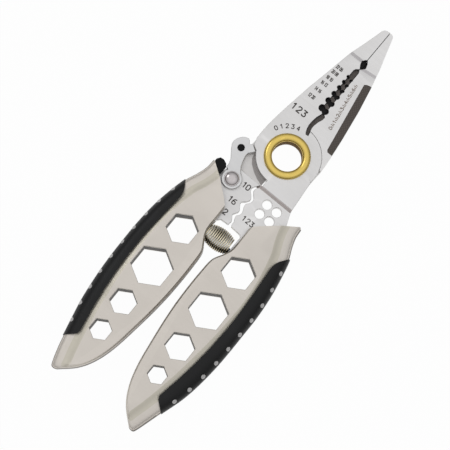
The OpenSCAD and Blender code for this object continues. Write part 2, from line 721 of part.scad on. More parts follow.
module studs(extra) {
    stud_pitch = (along(first_stud_share) - along(last_stud_share)) / (stud_count - 1);
    for (i = [0 : stud_count - 1]) {
        y = along(first_stud_share) - i * stud_pitch;
        rise = lookup(y + stud_pitch / 2, outer_edge) - lookup(y - stud_pitch / 2, outer_edge);
        slope = rise / stud_pitch;
        translate([lookup(y, outer_edge) - stud_in_share * jaw_reach, y, stud_z_share * handle_half])
            rotate([0, 0, -atan(slope)])
                rotate([0, 90 - stud_slope, 0])
                    translate([0, 0, -stud_len])
                        cylinder(r = stud_r, h = stud_len + extra);
    }
}

module grip() {
    difference() {
        intersection() {
            loft(grip_rings);
            plate(placed(grip_zone_shares), -2 * handle_half, 2 * handle_half);
        }
        studs(stud_len);
    }
}

shell_color = [0.77, 0.75, 0.72];
liner_color = [0.20, 0.20, 0.20];
grip_color = [0.10, 0.10, 0.10];
stud_color = [0.55, 0.54, 0.53];

module left_front_shell() {
    color(shell_color)
        on_left()
            shell(left_hexes);
}

module left_rear_shell() {
    color(shell_color)
        on_left()
            mirror([0, 0, 1])
                shell(left_hexes);
}

module left_liner() {
    color(liner_color)
        on_left()
            liner(left_hexes);
}

module left_grip() {
    color(grip_color)
        on_left()
            grip();
}

module left_studs() {
    color(stud_color)
        on_left()
            studs(0);
}

module left_plug() {
    low = latch_z + latch_t + slide_gap;
    color([0.05, 0.05, 0.05])
        intersection() {
            plate(placed(plug_shares), low, shell_inner_half);
            union() {
                on_left()
                    translate([0, fixed_gap, 0])
                        plate(placed(mouth_shares), 0, handle_half);
                plate(placed(tongue_shares), 0, tongue_top_share * shell_inner_half);
            }
        }
}

module right_front_shell() {
    color(shell_color)
        on_right()
            shell(right_hexes);
}

module right_rear_shell() {
    color(shell_color)
        on_right()
            mirror([0, 0, 1])
                shell(right_hexes);
}

module right_liner() {
    color(liner_color)
        on_right()
            liner(right_hexes);
}

module right_grip() {
    color(grip_color)
        on_right()
            grip();
}

module right_studs() {
    color(stud_color)
        on_right()
            studs(0);
}

front_blade();
rear_blade();
pivot_sleeve();
pivot_ring();
file_strip();
lock_latch();
latch_button();
latch_rivet();
return_spring();
left_front_shell();
left_rear_shell();
left_liner();
left_grip();
left_studs();
left_plug();
right_front_shell();
right_rear_shell();
right_liner();
right_grip();
right_studs();
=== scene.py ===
import math

import bmesh
import bpy
from mathutils import Matrix, Vector, geometry


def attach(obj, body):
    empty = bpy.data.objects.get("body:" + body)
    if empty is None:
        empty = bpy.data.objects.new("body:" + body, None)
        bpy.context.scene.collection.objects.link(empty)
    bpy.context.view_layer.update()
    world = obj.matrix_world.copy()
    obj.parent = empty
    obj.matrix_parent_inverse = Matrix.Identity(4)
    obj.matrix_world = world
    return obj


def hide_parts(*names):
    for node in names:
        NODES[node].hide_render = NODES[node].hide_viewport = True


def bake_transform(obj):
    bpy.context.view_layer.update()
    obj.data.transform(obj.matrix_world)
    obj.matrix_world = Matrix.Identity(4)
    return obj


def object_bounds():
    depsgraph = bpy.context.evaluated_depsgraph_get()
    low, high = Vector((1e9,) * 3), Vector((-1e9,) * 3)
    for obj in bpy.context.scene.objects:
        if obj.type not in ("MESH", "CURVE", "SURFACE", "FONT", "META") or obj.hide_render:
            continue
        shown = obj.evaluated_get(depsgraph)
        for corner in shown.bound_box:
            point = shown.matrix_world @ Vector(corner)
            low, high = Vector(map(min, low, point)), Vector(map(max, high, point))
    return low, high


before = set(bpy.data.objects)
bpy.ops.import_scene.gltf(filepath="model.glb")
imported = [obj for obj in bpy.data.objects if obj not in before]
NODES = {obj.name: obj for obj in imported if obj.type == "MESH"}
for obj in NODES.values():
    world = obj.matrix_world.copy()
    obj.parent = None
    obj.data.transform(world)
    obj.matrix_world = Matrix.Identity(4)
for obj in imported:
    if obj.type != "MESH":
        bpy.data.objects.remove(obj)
CAD_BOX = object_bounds()
MM = 0.001

# ---------------------------------------------------------------- sizes, in mm, as in the CAD
BLADE = 3.0  # half height of the jaws and the boss
TANG = 1.5  # half height of the tangs
WEB = 0.6  # half height of the web between the front and rear pockets
LAP = 0.03  # height above the middle at which each blade's half of the boss starts
EDGE_LOW, EDGE_TOP = 0.5, 1.3  # the cutting edges inside the slot, painted dark as shade
BREAK = 0.15  # width of the broken edges
BOSS_SMALL, BOSS, BOSS_GAP = 14.4, 15.9, 0.08
SLEEVE, BORE = 8.0, 7.0
FLANGE_R, FLANGE_T = 10.8, 1.64
SHOULDER_Y, SHOULDER_RUN = -17.9, -1.5
NOSE_FALL, NOSE_RUN = 0.6, 1.6  # the step near the tip of each jaw
STRIP_SEAT = 2.0  # height of the file strip's seat
LATCH_Z, LATCH_T, LATCH_EYE = 1.55, 1.5, 4.75
RIVET = (-12.9, -24.2)
BUTTON = (-18.8, -10.3)
WIND, WIND_R, WIND_DX, WIND_DY = (9.8, -25.7), 2.3, 2.8, 2.7
SPRING_Y = -49.07
HALF = 5.6  # half height of the handles
SHELL_T = 1.2
BEND = 8.0  # width of the sheet's bend
SWING = math.radians(0.95)  # turn of the handles against the blades
HEX_X = 16.2
HEX_Y = (-56.4, -78.1, -98.6, -114.6)
HEXES = {"right": (14, 16, 12, 8), "left": (13, 17, 11, 9)}
STUDS, STUD_TOP, STUD_END = 10, -44.39, -119.10
STUD_R, STUD_LENGTH = 1.1, 1.6

# the stripping holes: how many, the first one's y and radius, the wall between two, the growth from one to
# the next, and the places of the left and right half of each
POCKETS, POCKET_Y, POCKET_R, POCKET_WALL, POCKET_GROWTH = 6, 47.29734, 0.75, 1.56, 1.17
POCKET_ROWS = ((-2.0, 0.0), (0.2, -0.45))

# outlines seen from the front, x and y in mm
FRONT_JAW = [
    (-0.1, 59.2), (-0.1, 76.2), (-1.6, 76.1), (-2.9, 75.6), (-3.6, 74.4), (-4.7, 70), (-6.3, 64), (-8.05, 58),
    (-9.6, 49.5), (-11.1, 41), (-12.8, 32), (-14.2, 22.5), (-15.2, 15.5), (-15.9, 9.5), (-16.25, 5),
    (-16.3, 1.5), (-16.2, -2), (-15.25, -5.3), (-12.2, -7.15), (0, -6), (4, 10), (0.75, 13.6), (0.1, 13.5),
    (-0.5, 14.2), (-1.2, 16), (-1.6, 18), (-1.6, 20), (-1.2, 23), (-0.35, 25.4), (-0.35, 26.2), (-1.6, 26.9),
    (-2, 27.8), (-2, 51.2), (-1.6, 52.2), (-0.1, 53.4), (-1.3, 55.4), (-1.85, 57.2), (-0.85, 58.6),
]
FRONT_SHOULDER = [
    (0, 0), (0, -18), (17.4, -18), (17.15, -15), (16.3, -6.5), (16.1, -4.6), (15.95, -3.3), (15.75, -2.2),
    (12, 0),
]
FRONT_TANG = [
    (0, -18), (0, -18.4), (-0.9, -19.3), (-1.8, -20.8), (-1.8, -22), (-0.8, -23.3), (0.5, -24.6), (0.9, -26),
    (0.5, -27.4), (-0.7, -28.8), (-0.7, -30.2), (0, -31.7), (0.6, -33), (0.4, -34.4), (-0.7, -35.9),
    (-0.4, -37.4), (0.4, -38.9), (0.3, -40.1), (0.9, -41.3),
    (6.2, -41.6), (7.1, -42.6), (7.1, -55), (8.3, -55),
    (8.5, -46.6), (21.5, -46.6), (24.5, -42), (23.5, -34), (21.2, -28), (19.5, -23.8), (18.3, -21),
    (17.5, -18.5), (17.4, -18),
]
REAR_JAW = [
    (0.1, 59.2), (0.1, 76.2), (1.2, 76.1), (2, 75.6),
    (2.5, 74.8), (4.5, 68), (7.4, 58.6), (7.9, 56), (9.5, 50),
    (12, 38), (14.4, 22.5), (15.45, 14), (15.9, 9.5), (16.2, 5), (16, 1), (15.95, -2), (15.9, -5), (15, -7),
    (2, -6), (0.5, 12), (1.3, 13.6), (0.9, 15.5),
    (0.4, 17.5), (0.4, 19), (0.9, 21.5), (1.7, 23.5), (1.9, 25.2),
    (0.9, 26.2), (0.75, 27.2), (0.75, 51.4), (0.1, 53.4), (0.8, 54), (1.9, 55.6), (1.2, 57.7),
]
REAR_SHOULDER = [
    (0, 0), (-0.9, -18), (-17.3, -18), (-17.1, -15), (-16.7, -10), (-16.3, -5), (-16.1, -2.9), (-15.75, -2.2),
    (-12, 3),
]
REAR_TANG = [
    (-0.9, -18), (-1.3, -18.4), (-2.6, -20), (-3.3, -21.5), (-2.6, -23), (-1.3, -24.2), (-0.3, -25.5),
    (-0.25, -26.5), (-1.2, -28), (-2.7, -29.3), (-2.8, -30.3), (-1.7, -31.9), (-0.9, -33), (-0.9, -34),
    (-1.8, -35.5), (-2.3, -36.3), (-2.1, -37), (-1, -38.3), (-0.6, -39.2), (-0.9, -41.3), (-5, -41.6),
    (-6, -42.8), (-7.1, -44), (-7.1, -55), (-8.1, -55), (-8.3, -46.6), (-21, -46.6), (-24, -42), (-23, -34),
    (-20.5, -29), (-18.6, -24), (-17.7, -21), (-17.3, -18),
]
# the slot between the closed jaws
CHANNEL = [
    (0.75, 13.6), (0.1, 13.5), (-0.5, 14.2), (-1.2, 16), (-1.6, 18), (-1.6, 20), (-1.2, 23), (-0.35, 25.4),
    (-0.35, 26.2), (-1.6, 26.9), (-2, 27.8), (-2, 51.2),
    (-1.6, 52.2), (-0.1, 53.4), (0.1, 53.4), (0.75, 51.4),
    (0.75, 27.2), (0.9, 26.2), (1.9, 25.2), (1.7, 23.5), (0.9, 21.5), (0.4, 19), (0.4, 17.5), (0.9, 15.5),
    (1.3, 13.6),
]
# the webs that close the nose hole, dark sheets put where there is only shade
FRONT_WEB = [
    (-0.1, 59.1), (-0.85, 58.6), (-1.85, 57.2), (-1.3, 55.4), (-0.1, 53.5), (0.3, 54.2), (0.3, 58.2),
]
REAR_WEB = [
    (0.1, 59.1), (1.2, 57.7), (1.9, 55.6), (0.8, 54), (0.1, 53.5), (-0.3, 54.2), (-0.3, 58.2),
]
FILE = [
    (6.05, 48.9), (7, 49.7), (8.6, 50.2), (10.6, 50.2), (17, 13.3), (12.9, 13.3), (12.15, 14.2),
]
LATCH = [
    (-17.8, -5.2), (-18.7, -4.65), (-20.2, -5), (-21.6, -6), (-22.9, -7.8), (-23.5, -9.8), (-23.2, -11.6),
    (-22, -13.6), (-20.6, -15.4), (-19.3, -17.3),
    (-18.6, -19.2), (-18.2, -21.5), (-12.9, -24.2), (-9.9, -20.9),
    (-12, -18.8), (-13.2, -17), (-14.3, -14), (-14.8, -11.6), (-14.7, -10.3), (-12.5, -7.55), (-15.45, -5.62),
    (-16.2, -6), (-16.9, -6.4),
]
# the right handle
HANDLE_OUTLINE = [
    (25.2, -3), (25.2, -12), (25.4, -20.5), (25.7, -26.5),
    (27.4, -32), (29.6, -37.2), (31.55, -45), (33, -53),
    (33.75, -60.5), (34.1, -68), (33.9, -76), (33.45, -84.5), (32.55, -94), (31.5, -102.5), (30.5, -110),
    (29.2, -117.2), (27.5, -125.6), (25.9, -132.3), (24, -138.9), (22.9, -140.8), (21.2, -140.7),
    (19.6, -139.4), (14.8, -135.1), (11.1, -130.1), (8.1, -123.3), (6, -115), (4.5, -105), (3.2, -95),
    (2.3, -85), (1.95, -75), (2.05, -65), (2.6, -58.6), (5.1, -53.9), (6.5, -50.8), (7, -47.5), (7, -40),
    (7, -28), (7, -16), (7, -3),
]
# what the shells leave open round the tangs
MOUTH = [
    (-2, 4), (40, 4), (40, -22.7), (25.6, -22.7), (25.1, -22.15), (24.5, -22.3), (23.8, -22.9), (18.1, -27),
    (15.3, -29.4), (10.2, -33.7), (8.1, -35.8), (5.6, -39.8), (-2, -39.8),
]
# what the rubber strips take of the handles
GRIP_ZONE = [
    (45, -35.5), (30.9, -35.5), (27.2, -41), (26.3, -43),
    (26.1, -45.5), (26.7, -53), (27.3, -61), (27.8, -70),
    (27.8, -80), (27.3, -90), (26.3, -100), (24.9, -110), (23.3, -118.6), (22.85, -121.2), (23.3, -122.7),
    (24.4, -123.8), (29, -127.5), (45, -127.5),
]
# the width of the sheet's bend at each point of the outline, in shares of BEND
BENDS = [0.15] + [1] * 18 + [0.17, 0.13] + [0.12] * 18


# ---------------------------------------------------------------- materials
class Nodes:
    """Short calls for the nodes of one shader tree."""

    def __init__(self, tree):
        self.tree = tree

    def node(self, kind, **values):
        n = self.tree.nodes.new(kind)
        for k, v in values.items():
            if k in n.inputs:
                n.inputs[k].default_value = v
            else:
                setattr(n, k, v)
        return n

    def link(self, a, b):
        self.tree.links.new(a, b)

    def range(self, value, low, high, a=0.0, b=1.0):
        """Maps a to b onto low to high."""
        r = self.node("ShaderNodeMapRange", **{"From Min": a, "From Max": b, "To Min": low, "To Max": high})
        self.link(value, r.inputs["Value"])
        return r.outputs["Result"]

    def math(self, op, a, b):
        m = self.node("ShaderNodeMath", operation=op)
        for i, v in enumerate((a, b)):
            if isinstance(v, (int, float)):
                m.inputs[i].default_value = v
            else:
                self.link(v, m.inputs[i])
        return m.outputs["Value"]

    def shaders(self, share, a, b, output):
        """Mixes shader a with a share of shader b, for the tree's output."""
        m = self.node("ShaderNodeMixShader")
        for i, v in enumerate((share, a, b)):
            self.link(v, m.inputs[i])
        self.link(m.outputs[0], self.tree.nodes[output].inputs[0])


class Maker(Nodes):
    """Builds a material round one Principled shader."""

    def __init__(self, name):
        self.mat = bpy.data.materials.new(name)
        self.mat.use_nodes = True
        super().__init__(self.mat.node_tree)
        self.bsdf = self.tree.nodes["Principled BSDF"]
        self.coord = self.node("ShaderNodeTexCoord")

    def mapping(self, scale=(1, 1, 1), rotation=(0, 0, 0)):
        m = self.node("ShaderNodeMapping", Scale=scale, Rotation=rotation)
        self.link(self.coord.outputs["Object"], m.inputs["Vector"])
        return m.outputs["Vector"]

    def noise(self, scale, stretch=(1, 1, 1), rotation=(0, 0, 0), detail=3.0, roughness=0.5):
        n = self.node("ShaderNodeTexNoise", Scale=scale, Detail=detail, Roughness=roughness)
        self.link(self.mapping(stretch, rotation), n.inputs["Vector"])
        return n.outputs["Fac"]

    def ramp(self, value, stops):
        r = self.node("ShaderNodeValToRGB")
        ramp = r.color_ramp
        while len(ramp.elements) < len(stops):
            ramp.elements.new(0.5)
        for e, (p, c) in zip(ramp.elements, stops):
            e.position = p
            e.color = (*c, 1)
        self.link(value, r.inputs["Fac"])
        return r.outputs["Color"]

    def mix(self, share, a, b):
        """Mixes colour a with a share of the plain colour b."""
        m = self.node("ShaderNodeMix", data_type="RGBA")
        self.link(share, m.inputs[0])
        self.link(a, m.inputs[6])
        m.inputs[7].default_value = (*b, 1)
        return m.outputs[2]

    def bump(self, value, strength, distance):
        b = self.node("ShaderNodeBump", Strength=strength, Distance=distance)
        self.link(value, b.inputs["Height"])
        self.link(b.outputs["Normal"], self.bsdf.inputs["Normal"])

    def edge(self):
        """1 along convex edges, from the mesh's own shape. The materials lighten their colour there: a
        painted highlight.
        """
        g = self.node("ShaderNodeNewGeometry")
        return self.range(g.outputs["Pointiness"], 0.0, 1.0, 0.52, 0.62)


def srgb(r, g, b):
    out = []
    for v in (r, g, b):
        v /= 255
        out.append(v / 12.92 if v <= 0.04045 else ((v + 0.055) / 1.055) ** 2.4)
    return tuple(out)


def shade(c, k):
    return tuple(min(1.0, v * k) for v in c)


def metal(name, colour, rough, brush=0.0, grain=1.0, metallic=1.0, spread=0.06, scale=900, dirt=0.10,
          spec=0.5):
    """Metal brushed at an angle: spread is how far its tone varies, dirt how dark its dull places are."""
    m = Maker(name)
    b = m.bsdf.inputs
    b["Metallic"].default_value = metallic
    b["Specular IOR Level"].default_value = spec
    turn = (0, 0, math.radians(brush))
    broad = m.noise(45, detail=4)
    fine = m.noise(scale, stretch=(0.05, 1, 1), rotation=turn, detail=5, roughness=0.65)
    wisp = m.noise(140, stretch=(0.25, 1, 1), rotation=turn, detail=3)
    tone = m.math("ADD", m.range(broad, -spread, spread), m.range(fine, -spread * 0.8, spread * 0.8))
    col = m.ramp(m.math("ADD", tone, 0.5),
                 [(0.36, shade(colour, 1 - dirt)), (0.5, colour), (0.64, shade(colour, 1.06))])
    # lighter along convex edges: painted highlight
    m.link(m.mix(m.edge(), col, shade(colour, 1.12)), b["Base Color"])
    m.link(m.range(m.math("ADD", m.math("MULTIPLY", fine, 0.6), m.math("MULTIPLY", wisp, 0.4)),
                   rough - 0.07, rough + 0.09, 0.3, 0.7), b["Roughness"])
    m.bump(fine, 0.10 * grain, 0.00003)
    return m.mat


def plastic(name, colour, rough, scale, grain, lift=1.5, spec=0.45):
    """Moulded plastic or paint: scale and grain are the size and strength of its fine grain."""
    m = Maker(name)
    b = m.bsdf.inputs
    b["Specular IOR Level"].default_value = spec
    broad = m.noise(70, detail=3)
    fine = m.noise(scale, detail=6, roughness=0.6)
    col = m.ramp(m.math("ADD", m.math("MULTIPLY", broad, 0.6), m.math("MULTIPLY", fine, 0.4)),
                 [(0.3, shade(colour, 0.75)), (0.5, colour), (0.7, shade(colour, lift))])
    # lighter along convex edges: painted highlight
    m.link(m.mix(m.math("MULTIPLY", m.edge(), 0.35), col, shade(colour, 2.0)), b["Base Color"])
    m.link(m.range(fine, rough - 0.07, rough + 0.09, 0.3, 0.7), b["Roughness"])
    m.bump(fine, grain, 0.00004)
    return m.mat


def file_metal():
    """Dark steel with two crossing sets of fine teeth."""
    m = Maker("file_steel")
    b = m.bsdf.inputs
    b["Metallic"].default_value = 0.35
    base = srgb(90, 82, 76)
    waves = []
    for angle in (38, -46):
        w = m.node("ShaderNodeTexWave", Scale=300.0, Distortion=0.6, Detail=1.0, wave_type="BANDS")
        m.link(m.mapping(rotation=(0, 0, math.radians(angle))), w.inputs["Vector"])
        waves.append(w.outputs["Fac"])
    teeth = m.math("MULTIPLY", waves[0], waves[1])
    broad = m.noise(120, detail=4)
    col = m.ramp(m.math("ADD", m.math("MULTIPLY", teeth, 0.5), m.math("MULTIPLY", broad, 0.5)),
                 [(0.15, shade(base, 0.75)), (0.45, base), (0.8, shade(base, 1.35))])
    m.link(col, b["Base Color"])
    m.link(m.range(broad, 0.48, 0.62), b["Roughness"])
    m.bump(teeth, 0.12, 0.00004)
    return m.mat


STEEL = srgb(212, 210, 208)
SHEET = {"grain": 1.6, "spread": 0.05, "scale": 2200}
mats = {
    "front": metal("ground_steel", STEEL, rough=0.42, brush=-16),
    "rear": metal("ground_steel_rear", shade(STEEL, 0.97), rough=0.42, brush=14),
    # the recess below the boss is darker, and a band along the boss darker still: painted shade and painted
    # shadow
    "recess": metal("ground_recess", srgb(204, 201, 198), rough=0.48, brush=40, dirt=0.18),
    "shadow": metal("recess_band_painted_shadow", srgb(166, 161, 158), rough=0.5, brush=40, metallic=0.4, dirt=0.2),
    # the shoulder's sloped fall, duller and less metallic so that it renders darker: painted shade
    "groove": metal("shoulder_fall_painted_shade", srgb(212, 203, 199), rough=0.6, brush=80, metallic=0.2, dirt=0.2),
    # the slopes of the step near the tips, duller so that they render darker: painted shade
    "step": metal("nose_step_painted_shade", srgb(212, 208, 208), rough=0.55, brush=70, metallic=0.3, dirt=0.15),
    # the thin cutting edges down the slot, painted dark grey: painted shade
    "edge": metal("cutting_edge_painted_shade", srgb(92, 86, 82), rough=0.5, brush=90, metallic=0.7, dirt=0.25),
    # black in the stripping holes, the slot and the nose hole: painted shadow
    "pocket": plastic("pocket_painted_shadow", srgb(14, 13, 13), rough=0.55, scale=1400, grain=0.15, lift=1.3,
                      spec=0.25),
    "file": file_metal(),
    "gold": metal("gold_plate", srgb(218, 190, 104), rough=0.21, spread=0.07, dirt=0.14),
    # the bore's inner wall, a darker non-metal gold: painted shade
    "bore": metal("gold_bore_painted_shade", srgb(126, 94, 30), rough=0.6, metallic=0.0, spread=0.10, dirt=0.3, spec=0.1),
    "latch": metal("latch_steel", srgb(206, 205, 204), rough=0.40, brush=60),
    "rivet": metal("rivet_steel", srgb(190, 184, 183), rough=0.13, spread=0.05),
    # the spring: a cream outer side as painted highlight, the wire's flanks near black as painted shade
    "wire": metal("spring_wire", srgb(222, 210, 180), rough=0.22, spread=0.10, dirt=0.25),
    "wire_flank_painted_shade": metal("spring_flank_painted_shade", srgb(36, 30, 20), rough=0.5, spread=0.10, dirt=0.3),
    "shell": metal("champagne_shell", srgb(212, 205, 196), rough=0.44, metallic=0.8, **SHEET),
    # the sheet's slope by the crease a little darker, and its steep side by the outer edge much darker:
    # painted shade
    "slope": metal("champagne_slope_painted_shade", srgb(200, 194, 180), rough=0.42, metallic=0.8, **SHEET),
    "side": metal("champagne_side_painted_shade", srgb(112, 105, 98), rough=0.5, metallic=0.6, **SHEET),
    "stud": metal("stud_grey", srgb(196, 194, 192), rough=0.45, metallic=0.3, spread=0.06),
    "rubber": plastic("grip_rubber", srgb(24, 24, 24), rough=0.40, scale=2600, grain=0.30, spec=0.24),
    "liner": plastic("liner_plastic", srgb(58, 52, 46), rough=0.55, scale=1500, grain=0.2),
    "black": plastic("black_plastic", srgb(8, 8, 8), rough=0.34, scale=1800, grain=0.12, spec=0.14),
    "ink": plastic("dark_marking", srgb(66, 60, 56), rough=0.6, scale=3000, grain=0.1),
    "brown": plastic("brown_marking", srgb(128, 112, 98), rough=0.6, scale=3000, grain=0.1),
}

# the CAD nodes' own materials
for name, mat in {
    "front_blade": "front", "rear_blade": "rear", "pivot_sleeve": "gold", "pivot_ring": "gold",
    "file_strip": "file", "lock_latch": "latch", "latch_button": "black", "latch_rivet": "rivet",
    "return_spring": "wire", "left_front_shell": "shell", "left_rear_shell": "shell",
    "left_liner": "liner", "left_grip": "rubber", "left_studs": "stud", "left_plug": "black",
    "right_front_shell": "shell", "right_rear_shell": "shell", "right_liner": "liner",
    "right_grip": "rubber", "right_studs": "stud",
}.items():
    data = NODES[name].data
    data.materials.clear()
    data.materials.append(mats[mat])
    for p in data.polygons:
        p.material_index = 0


# ---------------------------------------------------------------- mesh tools, in mm
def ccw(pts):
    """The outline, run counter-clockwise."""
    pts = [tuple(p) for p in pts]
    area = sum(a[0] * b[1] - b[0] * a[1] for a, b in zip(pts, pts[1:] + pts[:1]))
    return pts if area > 0 else pts[::-1]


def mitre(a, b, c):
    """How far corner b moves for each mm that an outline is moved in, to the left of a-b-c."""
    e1, e2 = (Vector(b) - Vector(a)).normalized(), (Vector(c) - Vector(b)).normalized()
    n1, n2 = Vector((-e1.y, e1.x)), Vector((-e2.y, e2.x))
    m = n1 + n2
    m = n1 if m.length < 1e-6 else m.normalized()
    return m / max(m.dot(n1), 0.5)


def offset(pts, d):
    """A counter-clockwise outline moved in by d, with mitred corners."""
    n = len(pts)
    return [tuple(Vector(pts[i]) + mitre(pts[i - 1], pts[i], pts[(i + 1) % n]) * d) for i in range(n)]


def between(a, b, c, d, t):
    """A Catmull-Rom point of any size between b and c."""
    return tuple((2 * q + (r - p) * t + (2 * p - 5 * q + 4 * r - s) * t * t
                  + (3 * q - p - 3 * r + s) * t ** 3) / 2 for p, q, r, s in zip(a, b, c, d))


def smooth_loop(pts, steps):
    """The closed smooth curve through points."""
    n = len(pts)
    return [between(*(pts[(i + k) % n] for k in (-1, 0, 1, 2)), j / steps)
            for i in range(n) for j in range(steps)]


def smooth_line(pts, steps):
    """The open smooth curve through points."""
    ends = ((pts[0], pts[1]), (pts[-1], pts[-2]))
    before, after = (tuple(2 * p - q for p, q in zip(a, b)) for a, b in ends)
    pts = [before] + pts + [after]
    out = [between(*pts[i - 1:i + 3], j / steps) for i in range(1, len(pts) - 2) for j in range(steps)]
    return out + [pts[-2]]


def circle(r, cx=0.0, cy=0.0, n=128, start=0.0, end=360.0):
    count = n if end - start >= 360 else n + 1
    return [(cx + r * math.cos(math.radians(start + (end - start) * i / n)),
             cy + r * math.sin(math.radians(start + (end - start) * i / n))) for i in range(count)]


def placed(name, data):
    o = bpy.data.objects.new(name, data)
    bpy.context.scene.collection.objects.link(o)
    return o


def meshed(name, bm, outward=True):
    """An object of a bmesh. outward turns its faces outward, where they aren't made so."""
    mesh = bpy.data.meshes.new(name)
    if outward:
        bmesh.ops.recalc_face_normals(bm, faces=bm.faces)
    bm.to_mesh(mesh)
    bm.free()
    return placed(name, mesh)


def discard(obj):
    data = obj.data
    bpy.data.objects.remove(obj)
    bpy.data.meshes.remove(data)


def join(name, objs):
    bm = bmesh.new()
    for o in objs:
        bm.from_mesh(o.data)
        discard(o)
    return meshed(name, bm, outward=False)


def boolean(a, b, how):
    """Changes a by b, and discards b."""
    m = a.modifiers.new("b", "BOOLEAN")
    m.operation = how
    m.solver = "EXACT"
    m.object = b
    dg = bpy.context.evaluated_depsgraph_get()
    dg.update()
    mesh = bpy.data.meshes.new_from_object(a.evaluated_get(dg))
    a.modifiers.clear()
    old = a.data
    a.data = mesh
    bpy.data.meshes.remove(old)
    discard(b)


def turn_over(obj):
    """Mirrors a piece from the front to the rear."""
    for v in obj.data.vertices:
        v.co.z = -v.co.z
    obj.data.flip_normals()


def stack(name, rings):
    """A closed solid through equal rings of (x, y, z) points."""
    bm = bmesh.new()
    vs = [[bm.verts.new(p) for p in r] for r in rings]
    n = len(rings[0])
    bm.faces.new(vs[0][::-1])
    bm.faces.new(vs[-1])
    for a, b in zip(vs, vs[1:]):
        for i in range(n):
            bm.faces.new((a[i], a[(i + 1) % n], b[(i + 1) % n], b[i]))
    return meshed(name, bm)


def prism(pts, low, high, flare=0.0):
    """An extruded outline. flare widens it past those heights, to break the rims of what it cuts."""
    pts = ccw(pts)
    levels = [(pts, low), (pts, high)]
    if flare:
        big, wide = offset(pts, -flare), offset(pts, -3 * flare)
        levels = [(wide, low - 2 * flare), (big, low), (pts, low + flare), (pts, high - flare), (big, high),
                  (wide, high + 2 * flare)]
    return stack("prism", [[(x, y, z) for x, y in p] for p, z in levels])


def lathe(name, profile, cx=0.0, cy=0.0, n=120, kinds=None):
    """A solid turned about Z from (radius, height) points: a loop, unless they start on the axis."""
    bm = bmesh.new()
    loops = []
    for r, z in profile:
        around = [2 * math.pi * k / n for k in range(n)] if r > 1e-6 else [0.0]
        loops.append([bm.verts.new((cx + r * math.cos(a), cy + r * math.sin(a), z)) for a in around])
    pairs = list(zip(loops, loops[1:]))
    if len(loops[0]) > 1:
        pairs.append((loops[-1], loops[0]))
    for i, (a, b) in enumerate(pairs):
        for k in range(n):
            q = (k + 1) % n
            if len(a) == 1:
                f = bm.faces.new((a[0], b[q], b[k]))
            elif len(b) == 1:
                f = bm.faces.new((a[k], a[q], b[0]))
            else:
                f = bm.faces.new((a[k], a[q], b[q], b[k]))
            if kinds:
                f.material_index = kinds[i]
    return meshed(name, bm)


def region(inside, outside=(), lines=(), both=()):
    """The plane area in any polygon of inside, in all of both and in none of outside, as (points, triangles,
    loops with the area on the left). lines are extra edges for the triangles to follow."""
    vs, es, fs = [], [], []
    for pts in list(inside) + list(both) + list(outside):
        pts = ccw(pts)
        fs.append(list(range(len(vs), len(vs) + len(pts))))
        vs += [Vector(p) for p in pts]
    for a, b in lines:
        es.append((len(vs), len(vs) + 1))
        vs += [Vector(a), Vector(b)]
    pts, _, tris, _, _, owners = geometry.delaunay_2d_cdt(vs, es, fs, 0, 1e-5)
    n, m = len(inside), len(both)
    chosen = [list(t) for t, own in zip(tris, owners) if any(k < n for k in own)
              and sum(n <= k < n + m for k in set(own)) == m and not any(k >= n + m for k in own)]
    used = dict.fromkeys((a, b) for t in chosen for a, b in zip(t, t[1:] + t[:1]))
    rim = {}
    for a, b in used:
        if (b, a) not in used:
            rim.setdefault(a, []).append(b)
    loops = []
    while rim:
        start = a = next(iter(rim))
        loop = []
        while True:
            b = rim[a].pop()
            if not rim[a]:
                del rim[a]
            loop.append(a)
            a = b
            if a == start:
                break
        loops.append(loop)
    return [tuple(p) for p in pts], chosen, loops


def slab(name, reg, low, high, top=0.0, bottom=0.0, height=None, kinds=(0, 0, 0)):
    """A closed plate over a region. top and bottom break its rims. height(x, y) gives its upper face where
    that isn't flat. kinds are the materials of its upper face, walls and lower face."""
    pts, tris, loops = reg
    bm = bmesh.new()
    used = sorted({v for t in tris for v in t})
    moved = {}
    for loop in loops:
        n = len(loop)
        for k in range(n):
            moved[loop[k]] = mitre(pts[loop[k - 1]], pts[loop[k]], pts[loop[(k + 1) % n]])

    def face_level(bevel, z, flat):
        out = {}
        for v in used:
            x, y = pts[v]
            if bevel and v in moved:
                x, y = x + moved[v].x * bevel, y + moved[v].y * bevel
            out[v] = bm.verts.new((x, y, z if flat or height is None else height(x, y)))
        return out

    def rim_level(z, drop=0.0):
        return {v: bm.verts.new((*pts[v], z if height is None or not drop else height(*pts[v]) - drop))
                for v in moved}

    up = face_level(top, high, False)
    down = face_level(bottom, low, True)
    rings = [up]
    if top:
        rings.append(rim_level(high - top, top))
    if bottom:
        rings.append(rim_level(low + bottom))
    rings.append(down)
    for t in tris:
        bm.faces.new([up[v] for v in t]).material_index = kinds[0]
        bm.faces.new([down[v] for v in reversed(t)]).material_index = kinds[2]
    for loop in loops:
        for a, b in zip(loop, loop[1:] + loop[:1]):
            for hi, lo in zip(rings, rings[1:]):
                bm.faces.new((hi[b], hi[a], lo[a], lo[b])).material_index = kinds[1]
    return meshed(name, bm, outward=False)


